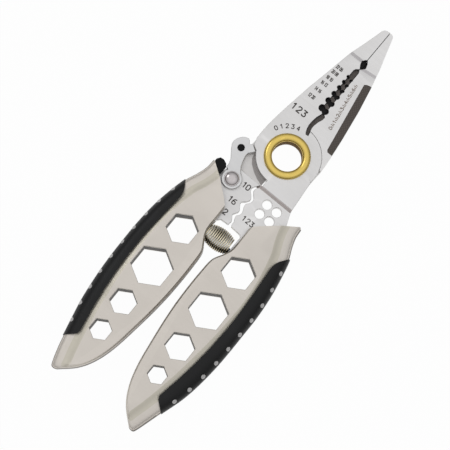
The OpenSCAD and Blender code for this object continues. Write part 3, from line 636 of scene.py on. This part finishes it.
def finish(obj, mat, body, replaced, slot, angle=32, mirror=None, swing=False, weld=1e-3):
    """Turns a piece from mm to metres, smooths it by angle, paints it and puts it on its body."""
    bm = bmesh.new()
    bm.from_mesh(obj.data)
    if weld:
        bmesh.ops.remove_doubles(bm, verts=bm.verts, dist=weld)
    m = Matrix.Scale(MM, 4)
    if mirror:
        m = Matrix.Scale(-1, 4, mirror) @ m
    if swing:
        m = Matrix.Rotation(SWING, 4, "Z") @ m
    bmesh.ops.transform(bm, matrix=m, verts=bm.verts)
    if m.determinant() < 0:
        bmesh.ops.reverse_faces(bm, faces=bm.faces)
    for f in bm.faces:
        f.smooth = True
    for e in bm.edges:
        if len(e.link_faces) == 2:
            e.smooth = e.calc_face_angle(0) < math.radians(angle) and e.smooth
    kinds = [f.material_index for f in bm.faces]
    bm.to_mesh(obj.data)
    bm.free()
    obj.data.materials.clear()
    for one in ([mat] if isinstance(mat, str) else mat):
        obj.data.materials.append(mats[one])
    obj.data.polygons.foreach_set("material_index", kinds)
    if replaced:
        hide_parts(*replaced)
    if body:
        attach(obj, body)


# ---------------------------------------------------------------- blades
# the blade's kinds after its steel all paint shade: black pockets, dark cutting edges, the darker recess with
# its shadow band, the shoulder's fall and the nose step
STEEL_FACE, POCKET, EDGE, RECESS, GROOVE, STEP, SHADOW = range(7)
BLADE_KINDS = ["pocket", "edge", "recess", "groove", "step", "shadow"]

POCKET_DISCS = []
y, r = POCKET_Y, POCKET_R
for _ in range(POCKETS):
    POCKET_DISCS += [circle(r, dx, y + dy, n=32) for dx, dy in POCKET_ROWS]
    y -= POCKET_WALL + r + r * POCKET_GROWTH
    r *= POCKET_GROWTH


def polar(a, r):
    return r * math.cos(math.radians(a)), r * math.sin(math.radians(a))


def bearing(x, y):
    return math.degrees(math.atan2(y, x)) % 360


# the outer rim of the band of painted shadow along the boss
CRESCENT = [polar(a, r) for a, r in
            ((208, 14.6), (214, 15.2), (221, 15.9), (230, 16.3), (243, 16.5), (255, 16.9), (268, 17.6))]


def in_crescent(x, y):
    """Whether a place of the recess is in the band of painted shadow along the boss."""
    a = bearing(x, y)
    for p, q in zip(CRESCENT, CRESCENT[1:]):
        low, high = bearing(*p), bearing(*q)
        if low <= a <= high:
            t = (a - low) / (high - low)
            return math.hypot(x, y) < math.hypot(*p) * (1 - t) + math.hypot(*q) * t
    return False


def in_slot(x, y):
    """Whether a place is in the slot of stripping holes, the cutter or the nose hole."""
    if 53.2 < y < 59.4:
        return abs(x) < 2.2
    if y <= 53.2:
        return 13.2 < y and -4.6 < x < 2.6
    return abs(x) < 0.35


def wedge(x0, x1):
    """The sloped fall of the shoulder onto the tang, from x0 to x1, in the material of painted shade."""
    bm = bmesh.new()
    high, low = BLADE - 0.1, TANG - 0.1
    section = ((0, high, 0), (0.25, high - 0.1, 0), (1, low, 1), (0, low, 0))
    p, q = ([bm.verts.new((x + pull * k, SHOULDER_Y + SHOULDER_RUN * t, z)) for t, z, k in section]
            for x, pull in ((x0, 0.0), (x1, -0.1)))
    n = len(p)
    for i in range(n):
        bm.faces.new((p[i], p[(i + 1) % n], q[(i + 1) % n], q[i]))
    bm.faces.new(p[::-1])
    bm.faces.new(q)
    for f in bm.faces:
        f.material_index = GROOVE
    return meshed("wedge", bm)


def blade(name, side, jaw, shoulder, tang, web, bore, extra=()):
    """One blade as plates one on the other, with its lap on the upper side. side is 1 for the front blade and
    -1 for the rear one, which is turned over afterwards. Its materials are the steel and then BLADE_KINDS."""
    fore = side > 0
    if fore:
        fan = circle(BOSS, n=90, start=-8.2, end=90) + [(0, 2), (0, -2)]
        step, slant, lap_y = 57.9, 0.0, 4.9
        other, groove, bands = REAR_JAW, [], []
    else:
        fan = circle(BOSS, n=90, start=90, end=188.2) + [(0, -2), (0, 2)]
        step, slant, lap_y = 54.9, 0.13, 4.5
        rim = circle(BOSS_SMALL, n=60, start=208, end=268)
        other, groove = FRONT_JAW, [FILE]
        # the rims of the painted shadow band, as edges for the triangles
        bands = list(zip(CRESCENT, CRESCENT[1:])) + list(zip(rim, rim[1:]))

    def face(x, y):
        """The height of the upper face, which falls at the step near the tip."""
        return BLADE - NOSE_FALL * min(1.0, max(0.0, 1 - (step + slant * x - y) / NOSE_RUN))

    steps = [((-30, step - 30 * slant - d), (30, step + 30 * slant - d)) for d in (0, NOSE_RUN)]
    other = [(x - side * 0.2, y) for x, y in other]
    below = [(-90, -90), (90, -90), (90, lap_y), (-90, lap_y)]
    disc, arc, hole = circle(BOSS_SMALL, n=160), circle(BOSS + BOSS_GAP, n=160), circle(bore, n=96)
    upper = [jaw, disc, fan, shoulder]
    # the faces inside the pockets take the black of painted shadow
    black, black_top = (POCKET,) * 3, (POCKET, STEEL_FACE, STEEL_FACE)
    low = slab("low", region([jaw], [arc, below, CHANNEL] + POCKET_DISCS + groove, steps), -BLADE, -WEB)
    for v in low.data.vertices:
        if v.co.z < 0.1 - BLADE:
            v.co.z = -face(v.co.x, v.co.y)
    parts = [
        slab("top", region(upper, [CHANNEL, hole] + POCKET_DISCS, steps), EDGE_TOP, BLADE, top=BREAK,
             height=face),
        slab("mid", region(upper, [hole, CHANNEL] + POCKET_DISCS), WEB, EDGE_TOP, kinds=black_top),
        slab("edge", region([CHANNEL], [other] + POCKET_DISCS), EDGE_LOW, EDGE_TOP, top=0.08,
             kinds=(EDGE,) * 3),
        slab("edge_floor", region([CHANNEL], [other]), LAP, EDGE_LOW, kinds=black),
        slab("core", region(upper, [hole, CHANNEL], bands), LAP, WEB, kinds=black_top),
        slab("core_low", region([jaw], [arc, below, CHANNEL]), -WEB, LAP, kinds=(POCKET, STEEL_FACE, POCKET)),
        slab("web", region([web]), 0.08, WEB, kinds=black),
        low,
        slab("tang", region([tang], [disc] + list(extra)), -TANG, TANG, top=0.12, bottom=0.12),
    ]
    if groove:
        parts.append(slab("strip_seat", region([jaw], [arc, below], both=groove), -STRIP_SEAT, -WEB))
    parts.append(wedge(-0.9, 17.45) if fore else wedge(-17.35, 0.0))
    o = join(name, parts)
    for p in o.data.polygons:
        x, y, z = p.center
        lean = abs(p.normal.z)
        if p.material_index == STEEL_FACE:
            # steep walls in the slot are made black: painted shadow
            if in_slot(x, y) and lean < 0.5:
                p.material_index = POCKET
            # the lap's floor below the boss: painted shade, and painted shadow in the band along the boss
            elif -0.1 < z < 0.1 and p.normal.z < -0.5 and y < -5:
                p.material_index = SHADOW if in_crescent(x, y) else RECESS
            # the slopes of the nose step: painted shade
            elif y > 49 and abs(z) > 2.35 and 0.5 < lean < 0.97:
                p.material_index = STEP
    return o


wind_holes = [circle(WIND_R, WIND[0] + dx, WIND[1] + dy, n=48)
              for dx in (-WIND_DX, WIND_DX) for dy in (-WIND_DY, WIND_DY)]
front = blade("front_blade_dressed", 1, FRONT_JAW, FRONT_SHOULDER, FRONT_TANG, FRONT_WEB, SLEEVE + 0.05,
              wind_holes)
finish(front, ["front"] + BLADE_KINDS, "right_half", ["front_blade"], "blade_steel", weld=0)

rear = blade("rear_blade_dressed", -1, REAR_JAW, REAR_SHOULDER, REAR_TANG, REAR_WEB, SLEEVE + 0.02)
turn_over(rear)
finish(rear, ["rear"] + BLADE_KINDS, "left_half", ["rear_blade"], "blade_steel", weld=0)

# ---------------------------------------------------------------- pivot, latch, spring and file strip
# the half-round rim of the pivot's flanges, from the bore outward
middle, reach = (FLANGE_R + BORE) / 2, (FLANGE_R - BORE) / 2
rim = [(middle - reach * math.cos(math.radians(a)), 3.05 + FLANGE_T * math.sin(math.radians(a)) ** 0.85)
       for a in range(6, 171, 5)] + [(FLANGE_R, 3.06)]
profile = [(BORE, -3.6), (BORE, 0.0)] + rim + [(SLEEVE, 3.06), (SLEEVE, -3.6)]
# the bore's wall takes the darker gold of painted shade
sleeve = lathe("pivot_sleeve_dressed", profile, kinds=[1, 1] + [0] * (len(profile) - 2))
finish(sleeve, ["gold", "bore"], "left_half", ["pivot_sleeve"], "gold_plate")
profile = [(r, -z) for r, z in rim] + [(SLEEVE + 0.05, -3.06), (SLEEVE + 0.05, -3.5), (BORE, -3.5)]
finish(lathe("pivot_ring_dressed", profile), "gold", "left_half", ["pivot_ring"], "gold_plate")

RIVET_PROFILE = [
    (0, 4.72), (0.8, 4.69), (1.6, 4.57), (2.3, 4.35), (2.8, 4.08), (3.05, 3.86), (3.12, 3.74), (3.22, 3.70),
    (3.42, 3.68), (3.52, 3.58), (3.52, 3.12), (1.55, 3.12), (1.55, -1.6), (2.5, -1.6), (2.5, -2.0),
    (2.2, -2.25), (0, -2.3),
]
BUTTON_PROFILE = [(0, 3.27), (0.7, 3.25), (1.2, 3.18), (1.42, 3.06), (1.52, 2.9), (1.52, 1.56), (0, 1.56)]

rivet = lathe("latch_rivet_dressed", RIVET_PROFILE, *RIVET, n=96)
finish(rivet, "rivet", "left_half", ["latch_rivet"], "rivet_steel")
latch_holes = [circle(BOSS_SMALL + 0.1, n=160), circle(1.62, *RIVET, n=48), circle(1.55, *BUTTON, n=48)]
latch = slab("lock_latch_dressed", region([LATCH, circle(LATCH_EYE, *RIVET, n=72)], latch_holes),
             LATCH_Z, LATCH_Z + LATCH_T, top=0.22, bottom=0.1)
finish(latch, "latch", "latch", ["lock_latch"], "latch_steel", weld=0)
button = lathe("latch_button_dressed", BUTTON_PROFILE, *BUTTON, n=48)
finish(button, "black", "latch", ["latch_button"], "black_plastic")


def spring():
    """The barrel coil, closely wound, between the two tangs. Only the outer side of its wire has the bright
    colour, a painted highlight; its flanks are painted dark as shade.
    """
    turns, per_turn, sides = 13, 28, 10
    wire, half, end_r, belly_r = 0.38, 6.61, 3.42, 5.15
    lean, squeeze = math.radians(3), 0.968
    n = turns * per_turn
    path = []
    for i in range(n + 1):
        t = i / n
        r = end_r + (belly_r - end_r) * math.sin(math.pi * t) ** 0.8
        a = 2 * math.pi * turns * t - math.pi / 2
        x, y, z = -half + 2 * half * t, r * math.cos(a), r * math.sin(a)
        path.append(Vector(((x * math.cos(lean) - y * math.sin(lean)) * squeeze,
                            x * math.sin(lean) + y * math.cos(lean) + SPRING_Y, z)))
    bm = bmesh.new()
    loops = []
    around = [2 * math.pi * k / sides for k in range(sides)]
    for i, p in enumerate(path):
        d = (path[min(i + 1, n)] - path[max(i - 1, 0)]).normalized()
        out = Vector((0, p.y - SPRING_Y, p.z))
        u = (out - d * out.dot(d)).normalized()
        v = d.cross(u)
        loops.append([bm.verts.new(p + wire * (u * math.cos(a) + v * math.sin(a))) for a in around])
    for a, b in zip(loops, loops[1:]):
        for k in range(sides):
            q = (k + 1) % sides
            # the two outer faces take the painted highlight, the rest the painted shade
            bm.faces.new((a[k], a[q], b[q], b[k])).material_index = 0 if k in (0, sides - 1) else 1
    bm.faces.new(loops[0][::-1])
    bm.faces.new(loops[-1])
    return meshed("return_spring_dressed", bm)


coil = spring()
finish(coil, ["wire", "wire_flank_painted_shade"], None, ["return_spring"], "spring_wire", angle=60)
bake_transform(coil)

strip = slab("file_strip_dressed", region([FILE], both=[REAR_JAW]), STRIP_SEAT, BLADE, top=0.08)
finish(strip, "file", "left_half", ["file_strip"], "file_steel", weld=0)


# ---------------------------------------------------------------- plain numbers
# the strokes of the figures, in a box 1 wide and STROKE_HEIGHT high
STROKE_HEIGHT = 1.6
STROKES = {
    "0": [[(0.25, 0), (0.75, 0), (1, 0.3), (1, 1.3), (0.75, 1.6), (0.25, 1.6), (0, 1.3), (0, 0.3),
           (0.25, 0)]],
    "1": [[(0.2, 1.25), (0.6, 1.6), (0.6, 0)]],
    "2": [[(0, 1.3), (0.2, 1.6), (0.8, 1.6), (1, 1.35), (1, 1.05), (0, 0), (1, 0)]],
    "3": [[(0, 1.6), (1, 1.6), (0.45, 0.95), (0.8, 0.85), (1, 0.6), (1, 0.25), (0.75, 0),
           (0.2, 0), (0, 0.2)]],
    "4": [[(0.75, 0), (0.75, 1.6), (0, 0.5), (1, 0.5)]],
    "5": [[(1, 1.6), (0.1, 1.6), (0.05, 0.95), (0.7, 0.95), (1, 0.7), (1, 0.25), (0.75, 0),
           (0.2, 0), (0, 0.2)]],
    "6": [[(0.85, 1.6), (0.3, 1.4), (0, 0.9), (0, 0.25), (0.25, 0), (0.75, 0), (1, 0.25),
           (1, 0.65), (0.75, 0.9),
           (0.25, 0.9), (0, 0.65)]],
    "8": [[(0.25, 0.85), (0, 1.1), (0, 1.35), (0.25, 1.6), (0.75, 1.6), (1, 1.35), (1, 1.1), (0.75, 0.85),
           (0.25, 0.85), (0, 0.6), (0, 0.25), (0.25, 0), (0.75, 0), (1, 0.25), (1, 0.6), (0.75, 0.85)]],
}


def figures(word, x, y, height, turn=0.0, gap=0.45, wide=1.0):
    """Strokes of plain numbers from the left end (x, y) of their base line."""
    k = height / STROKE_HEIGHT
    c, s = math.cos(turn), math.sin(turn)
    out, at = [], 0.0
    for ch in word:
        for line in STROKES[ch]:
            out.append([(x + (c * (px + at) * wide - s * py) * k, y + (s * (px + at) * wide + c * py) * k)
                        for px, py in line])
        at += 1.0 + gap
    return out


def ink(name, lines, width, z, kind, body):
    """Marks a plane with lines of one width and round ends, as one flat piece that stands hardly proud."""
    shapes = []
    r = width / 2
    for line in lines:
        for a, b in zip(line, line[1:]):
            d = math.atan2(b[1] - a[1], b[0] - a[0])
            round_ends = [(p, d + math.radians(q)) for p, first in ((b, -90), (a, 90))
                          for q in range(first, first + 181, 45)]
            shapes.append([(p[0] + r * math.cos(t), p[1] + r * math.sin(t)) for p, t in round_ends])
    finish(slab(name, region(shapes), z - 0.02, z + 0.015), kind, body, (), "blade_steel", weld=0)


gauge = []
for a, b, y in zip(("22", "20", "18", "16", "14", "12"), ("06", "08", "10", "13", "16", "20"),
                   (47.0, 43.9, 40.3, 36.8, 32.7, 28.5)):
    back = (47.0 - y) * 0.092
    gauge += figures(a, -9.2 - back, y, 1.6, gap=0.35, wide=0.55)
    gauge += figures(b, -7.2 - back, y, 1.6, gap=0.35, wide=0.55)
ink("gauge_numbers", gauge, 0.34, BLADE, "ink", "right_half")
ink("jaw_numbers", figures("123", -13.4, 19.2, 2.8, gap=0.7), 0.58, BLADE, "ink", "right_half")

round_boss = []
for k, ch in enumerate("01234"):
    a = math.radians(154 - 11.5 * k)
    c, s = math.cos(a), math.sin(a)
    round_boss += figures(ch, 12.8 * c - 0.6 * s, 12.8 * s - 0.6 * c, 1.9, turn=a - math.pi / 2)
ink("boss_numbers", round_boss, 0.40, BLADE, "ink", "right_half")

crimp = figures("10", -7.6, -23.6, 2.5, gap=0.4) + figures("16", -8.4, -32.7, 2.5, gap=0.4)
ink("crimp_numbers", crimp + figures("2", -6.4, -38.9, 2.5), 0.50, TANG, "ink", "left_half")
ink("wind_numbers", figures("123", 2.2, -35.6, 2.2, gap=0.65), 0.44, TANG, "ink", "right_half")

ruler = []
for k in range(7):
    x, y = 7.75 - 0.54 * k, 22.6 + 3.5 * k
    ruler += figures(str(k), x, y, 1.5, turn=math.radians(98.8))
    for q, tick in ((1.5, 0.8), (2.2, 1.4), (2.9, 0.8)):
        px, py = x - 0.154 * q, y + q
        ruler.append([(px, py), (px - tick, py - 0.2)])
ink("jaw_scale", ruler, 0.32, BLADE, "brown", "left_half")


# ---------------------------------------------------------------- handles
# how far each handle's outer edge swells, by y
SWELLS = {
    "right": [
        (-141, 0.3), (-132, 0.5), (-125.6, 0.9), (-117.2, 1.8), (-110, 2.05), (-102.5, 2.05), (-94, 1.75),
        (-84.5, 1.15), (-76, 0.75), (-68, 0.6), (-53, 0.45), (-45, 0.5), (-37, 0.7), (-26, 0.6), (0, 0.5),
    ],
    "left": [
        (-141, 0.3), (-132, 0.6), (-125.6, 0.6), (-117.2, 0.75), (-110, 0.95), (-102.5, 1.0), (-94, 0.85),
        (-84.5, 0.5), (-76, 0.2), (-68, 0.0), (0, 0.0),
    ],
}
OUTER_X = 22  # the outline's points beyond this x are on the outer edge
TIP_X, TIP_Y = 19, -138  # those beyond this x and below this y are round the tip
CREASE_END = (16.77, -135.59)
HOLLOW_END = -132.8
TANG_SLOT = [(0, -56.5), (9.1, -56.5), (9.1, 10), (0, 10)]
# profiles of the bend, as shares of its width and of the half height
SHELL_PROFILE = [
    (0, 0), (0.015, 0.30), (0.06, 0.50), (0.15, 0.66), (0.28, 0.745), (0.48, 0.80), (0.72, 0.85),
    (0.985, 0.995),
]
HOLLOW_PROFILE = [(0, 0), (0.28, 0.80), (1, 1)]
GRIP_PROFILE = [(-0.05, 0), (-0.02, 0.34), (0.10, 0.63), (0.29, 0.85), (0.56, 0.97), (1, 1)]


def swell(side, y):
    """How far a handle's outer edge swells beyond the solids' outline."""
    for (a, p), (b, q) in zip(SWELLS[side], SWELLS[side][1:]):
        if a <= y <= b:
            return p + (q - p) * (y - a) / (b - a)
    return 0.0


def outline(side):
    """The handle's outline as a closed smooth loop of (x, y, width of the bend in shares of BEND, tip).
    tip is 1 for the points round the tip, and 0 for the rest."""
    pts = []
    for (x, y), b in zip(HANDLE_OUTLINE, BENDS):
        more = swell(side, y) if x > OUTER_X else 0.0
        pts.append((x + more, y, b + more / BEND, 1.0 if y < TIP_Y and x > TIP_X else 0.0))
    return smooth_loop(pts, 2)


OUTLINES = {side: outline(side) for side in HEXES}


def ring(side, share, extra=0.0, end=None):
    """The outline moved in by a share of its bend, and by extra. Round the tip it closes in on the end of the
    crease, or with end it is cut off at that y."""
    pts = OUTLINES[side]
    n, out = len(pts), []
    for i, (x, y, b, tip) in enumerate(pts):
        d = (Vector(pts[(i + 1) % n][:2]) - Vector(pts[i - 1][:2])).normalized()
        closing = tip if end is None else 0.0
        k, pull = (1 - closing) * b * share * BEND + extra, closing * share * 0.97
        out.append((x + d.y * k + (CREASE_END[0] - x) * pull, y - d.x * k + (CREASE_END[1] - y) * pull))
    if end is not None:
        low = [i for i, p in enumerate(out) if p[1] < end or pts[i][3] > 0.2]
        first, last = low[0] - 1, low[-1] + 1
        for i in range(first + 1, last):
            t = (i - first) / (last - first)
            out[i] = tuple(a * (1 - t) + b * t for a, b in zip(out[first], out[last]))
    return smooth_loop(out, 2)


def shell(side):
    """The front sheet of a handle, open at its mouth and along its grip."""
    inner = HALF - SHELL_T
    rings = [[(x, y, z * inner) for x, y in ring(side, s, SHELL_T, HOLLOW_END)]
             for s, z in reversed(smooth_line(HOLLOW_PROFILE, 2))]
    rings += [[(x, y, z * HALF) for x, y in ring(side, s)]
              for s, z in smooth_line(SHELL_PROFILE, 3) + [(1.0, 1.0)]]
    o = stack(f"{side}_front_shell_dressed", rings)
    cutters = [prism(MOUTH, -9, 9)]
    for y, across in zip(HEX_Y, HEXES[side]):
        r = across / math.sqrt(3)
        angles = [math.radians(60 * i) for i in range(6)]
        hexagon = [(HEX_X + r * math.sin(a), y + r * math.cos(a)) for a in angles]
        cutters.append(prism(hexagon, -9, HALF, flare=0.14))
    boolean(o, join("cutters", cutters), "DIFFERENCE")
    boolean(o, prism(GRIP_ZONE, -9, 9), "DIFFERENCE")
    boolean(o, prism(TANG_SLOT, -9, inner - SHELL_T / 2), "DIFFERENCE")
    # steep low faces take the dark side and sloped upper faces the darker slope: painted shade
    for p in o.data.polygons:
        lean, z = p.normal.z, p.center.z / HALF
        p.material_index = 1 if abs(lean) < 0.45 and z < 0.52 else 2 if 0.5 < lean < 0.998 and z > 0.82 else 0
    return o


def grip(side):
    """The rubber strip round a handle's outer edge, from rear to front."""
    half = HALF + 0.4
    profile = smooth_line(GRIP_PROFILE, 4)
    profile = [(s, -z) for s, z in reversed(profile[1:])] + profile
    o = stack(f"{side}_grip_dressed", [[(x, y, z * half) for x, y in ring(side, s)] for s, z in profile])
    boolean(o, prism(GRIP_ZONE, -11, 11), "INTERSECT")
    return o


def outer_x(side, y):
    """Where a handle's outer edge is at a height y."""
    pts = OUTLINES[side][:len(OUTLINES[side]) // 2 + 1]
    found = [p[0] + (q[0] - p[0]) * (y - p[1]) / (q[1] - p[1]) for p, q in zip(pts, pts[1:])
             if (p[1] - y) * (q[1] - y) <= 0 and p[1] != q[1]]
    return found[-1]


def studs(side):
    """The row of domed studs along a grip."""
    back, up, lean = (0.8, 0.655, 40) if side == "right" else (0.3, 0.55, 31)
    angles = [math.radians(15 * k) for k in range(6)]
    dome = [(STUD_R * math.cos(a), 0.04 + 0.24 * math.sin(a)) for a in angles]
    profile = [(0.0, -STUD_LENGTH), (STUD_R, -STUD_LENGTH)] + dome + [(0.0, 0.28)]
    pitch = (STUD_TOP - STUD_END) / (STUDS - 1)
    parts = []
    for i in range(STUDS):
        y = STUD_TOP - i * pitch
        slope = (outer_x(side, y + pitch / 2) - outer_x(side, y - pitch / 2)) / pitch
        stud = lathe("stud", profile, n=32)
        stud.data.transform(Matrix.Translation((outer_x(side, y) - back, y, up * HALF))
                            @ Matrix.Rotation(-math.atan(slope), 4, "Z")
                            @ Matrix.Rotation(math.radians(90 - lean), 4, "Y"))
        parts.append(stud)
    return join(f"{side}_studs_dressed", parts)


for side, body, mirror in (("right", "right_half", None), ("left", "left_half", Vector((1, 0, 0)))):
    one = shell(side)
    two = placed(f"{side}_rear_shell_dressed", one.data.copy())
    turn_over(two)
    as_side = {"mirror": mirror, "swing": True}
    sheet = ["shell", "side", "slope"]
    for o, face in ((one, "front"), (two, "rear")):
        finish(o, sheet, body, [f"{side}_{face}_shell"], "shell_steel", angle=24, **as_side)
    finish(grip(side), "rubber", body, [f"{side}_grip"], "grip_rubber", angle=40, **as_side)
    finish(studs(side), "stud", body, [f"{side}_studs"], "stud_plastic", angle=40, **as_side)

# ---------------------------------------------------------------- stage
# The floor is white to the camera, to metal and to glass, and keeps a little of the shadow. Past it the world
# is light grey to the camera. In metal and glass it is white above and darker towards the horizon, for
# contrast.
m = Maker("pale_floor")
m.bsdf.inputs["Roughness"].default_value = 0.9
m.bsdf.inputs["Specular IOR Level"].default_value = 0.1
pale = m.ramp(m.noise(6, detail=2), [(0.3, (0.80, 0.80, 0.80)), (0.7, (0.84, 0.84, 0.84))])
m.link(pale, m.bsdf.inputs["Base Color"])
glow = m.node("ShaderNodeEmission", Strength=1.0)
path = m.node("ShaderNodeLightPath").outputs
seen = m.math("MAXIMUM", path["Is Camera Ray"], path["Is Glossy Ray"])
seen = m.math("MAXIMUM", seen, path["Is Transmission Ray"])
m.shaders(m.math("MULTIPLY", seen, 0.975), m.bsdf.outputs[0], glow.outputs[0], "Material Output")

bm = bmesh.new()
bmesh.ops.create_grid(bm, x_segments=8, y_segments=8, size=2.0)
bmesh.ops.translate(bm, verts=bm.verts, vec=(0, 0, CAD_BOX[0].z - 0.00005))
floor = meshed("floor", bm, outward=False)
floor.data.materials.append(m.mat)

world = bpy.data.worlds.new("studio")
bpy.context.scene.world = world
world.use_nodes = True
w = Nodes(world.node_tree)
path = w.node("ShaderNodeLightPath").outputs
axes = w.node("ShaderNodeSeparateXYZ")
w.link(w.node("ShaderNodeTexCoord").outputs["Generated"], axes.inputs[0])
sky = w.tree.nodes["Background"]
sky.inputs["Color"].default_value = (0.97, 0.98, 1.0, 1)
strength = w.node("ShaderNodeMix", data_type="FLOAT")
w.link(w.math("MAXIMUM", path["Is Glossy Ray"], path["Is Transmission Ray"]), strength.inputs[0])
strength.inputs[2].default_value = 0.5
w.link(w.range(axes.outputs["Z"], 0.12, 1.0, 0.0, 0.93), strength.inputs[3])
w.link(strength.outputs[0], sky.inputs["Strength"])
w.shaders(path["Is Camera Ray"], sky.outputs[0], w.node("ShaderNodeBackground").outputs[0], "World Output")

# the photograph's axes on the tool's plane, and the point of the plane under its middle, in mm
TURN = math.radians(50.6)
RIGHT = Vector((math.sin(TURN), math.cos(TURN), 0))
UP = Vector((-math.cos(TURN), math.sin(TURN), 0))
PU, PV = 28.2991, 31.3883


def place(u, v, z):
    """A point given in the photograph's plane: mm right and up of its middle, and mm high."""
    return (RIGHT * (u - PU) + UP * (v - PV) + Vector((0, 0, z))) * MM


def lamp(name, u, v, z, size, power, colour=(1, 1, 1)):
    """A square lamp that points at the middle of the photograph."""
    light = bpy.data.lights.new(name, "AREA")
    light.size = size
    light.energy = power
    light.color = colour
    o = placed(name, light)
    o.location = place(u, v, z)
    o.rotation_euler = (place(0, 0, 0) - o.location).to_track_quat("-Z", "Y").to_euler()


lamp("key", -420, 420, 620, 0.30, 0.5)
lamp("fill", 500, -200, 700, 0.7, 0.12, colour=(0.98, 0.99, 1.0))
lamp("top", 0, 150, 900, 0.9, 0.2)

# ---------------------------------------------------------------- camera
PHOTO_PX, FOCAL_PX, SENSOR = 450, 1674.02, 36
camera = bpy.data.cameras.new("camera")
camera.sensor_width = SENSOR
camera.lens = FOCAL_PX / PHOTO_PX * SENSOR
camera.clip_start, camera.clip_end = 0.01, 20
eye = place(-29.5455, -125.0, 750.0)
forward = (place(0, 0, 0) - eye).normalized()
right = forward.cross(UP).normalized()
up = right.cross(forward)
cam = placed("camera", camera)
stand = Matrix((right, up, -forward)).transposed().to_4x4()
stand.translation = eye
cam.matrix_world = stand
bpy.context.scene.camera = cam
bpy.context.scene.view_settings.view_transform = "Standard"
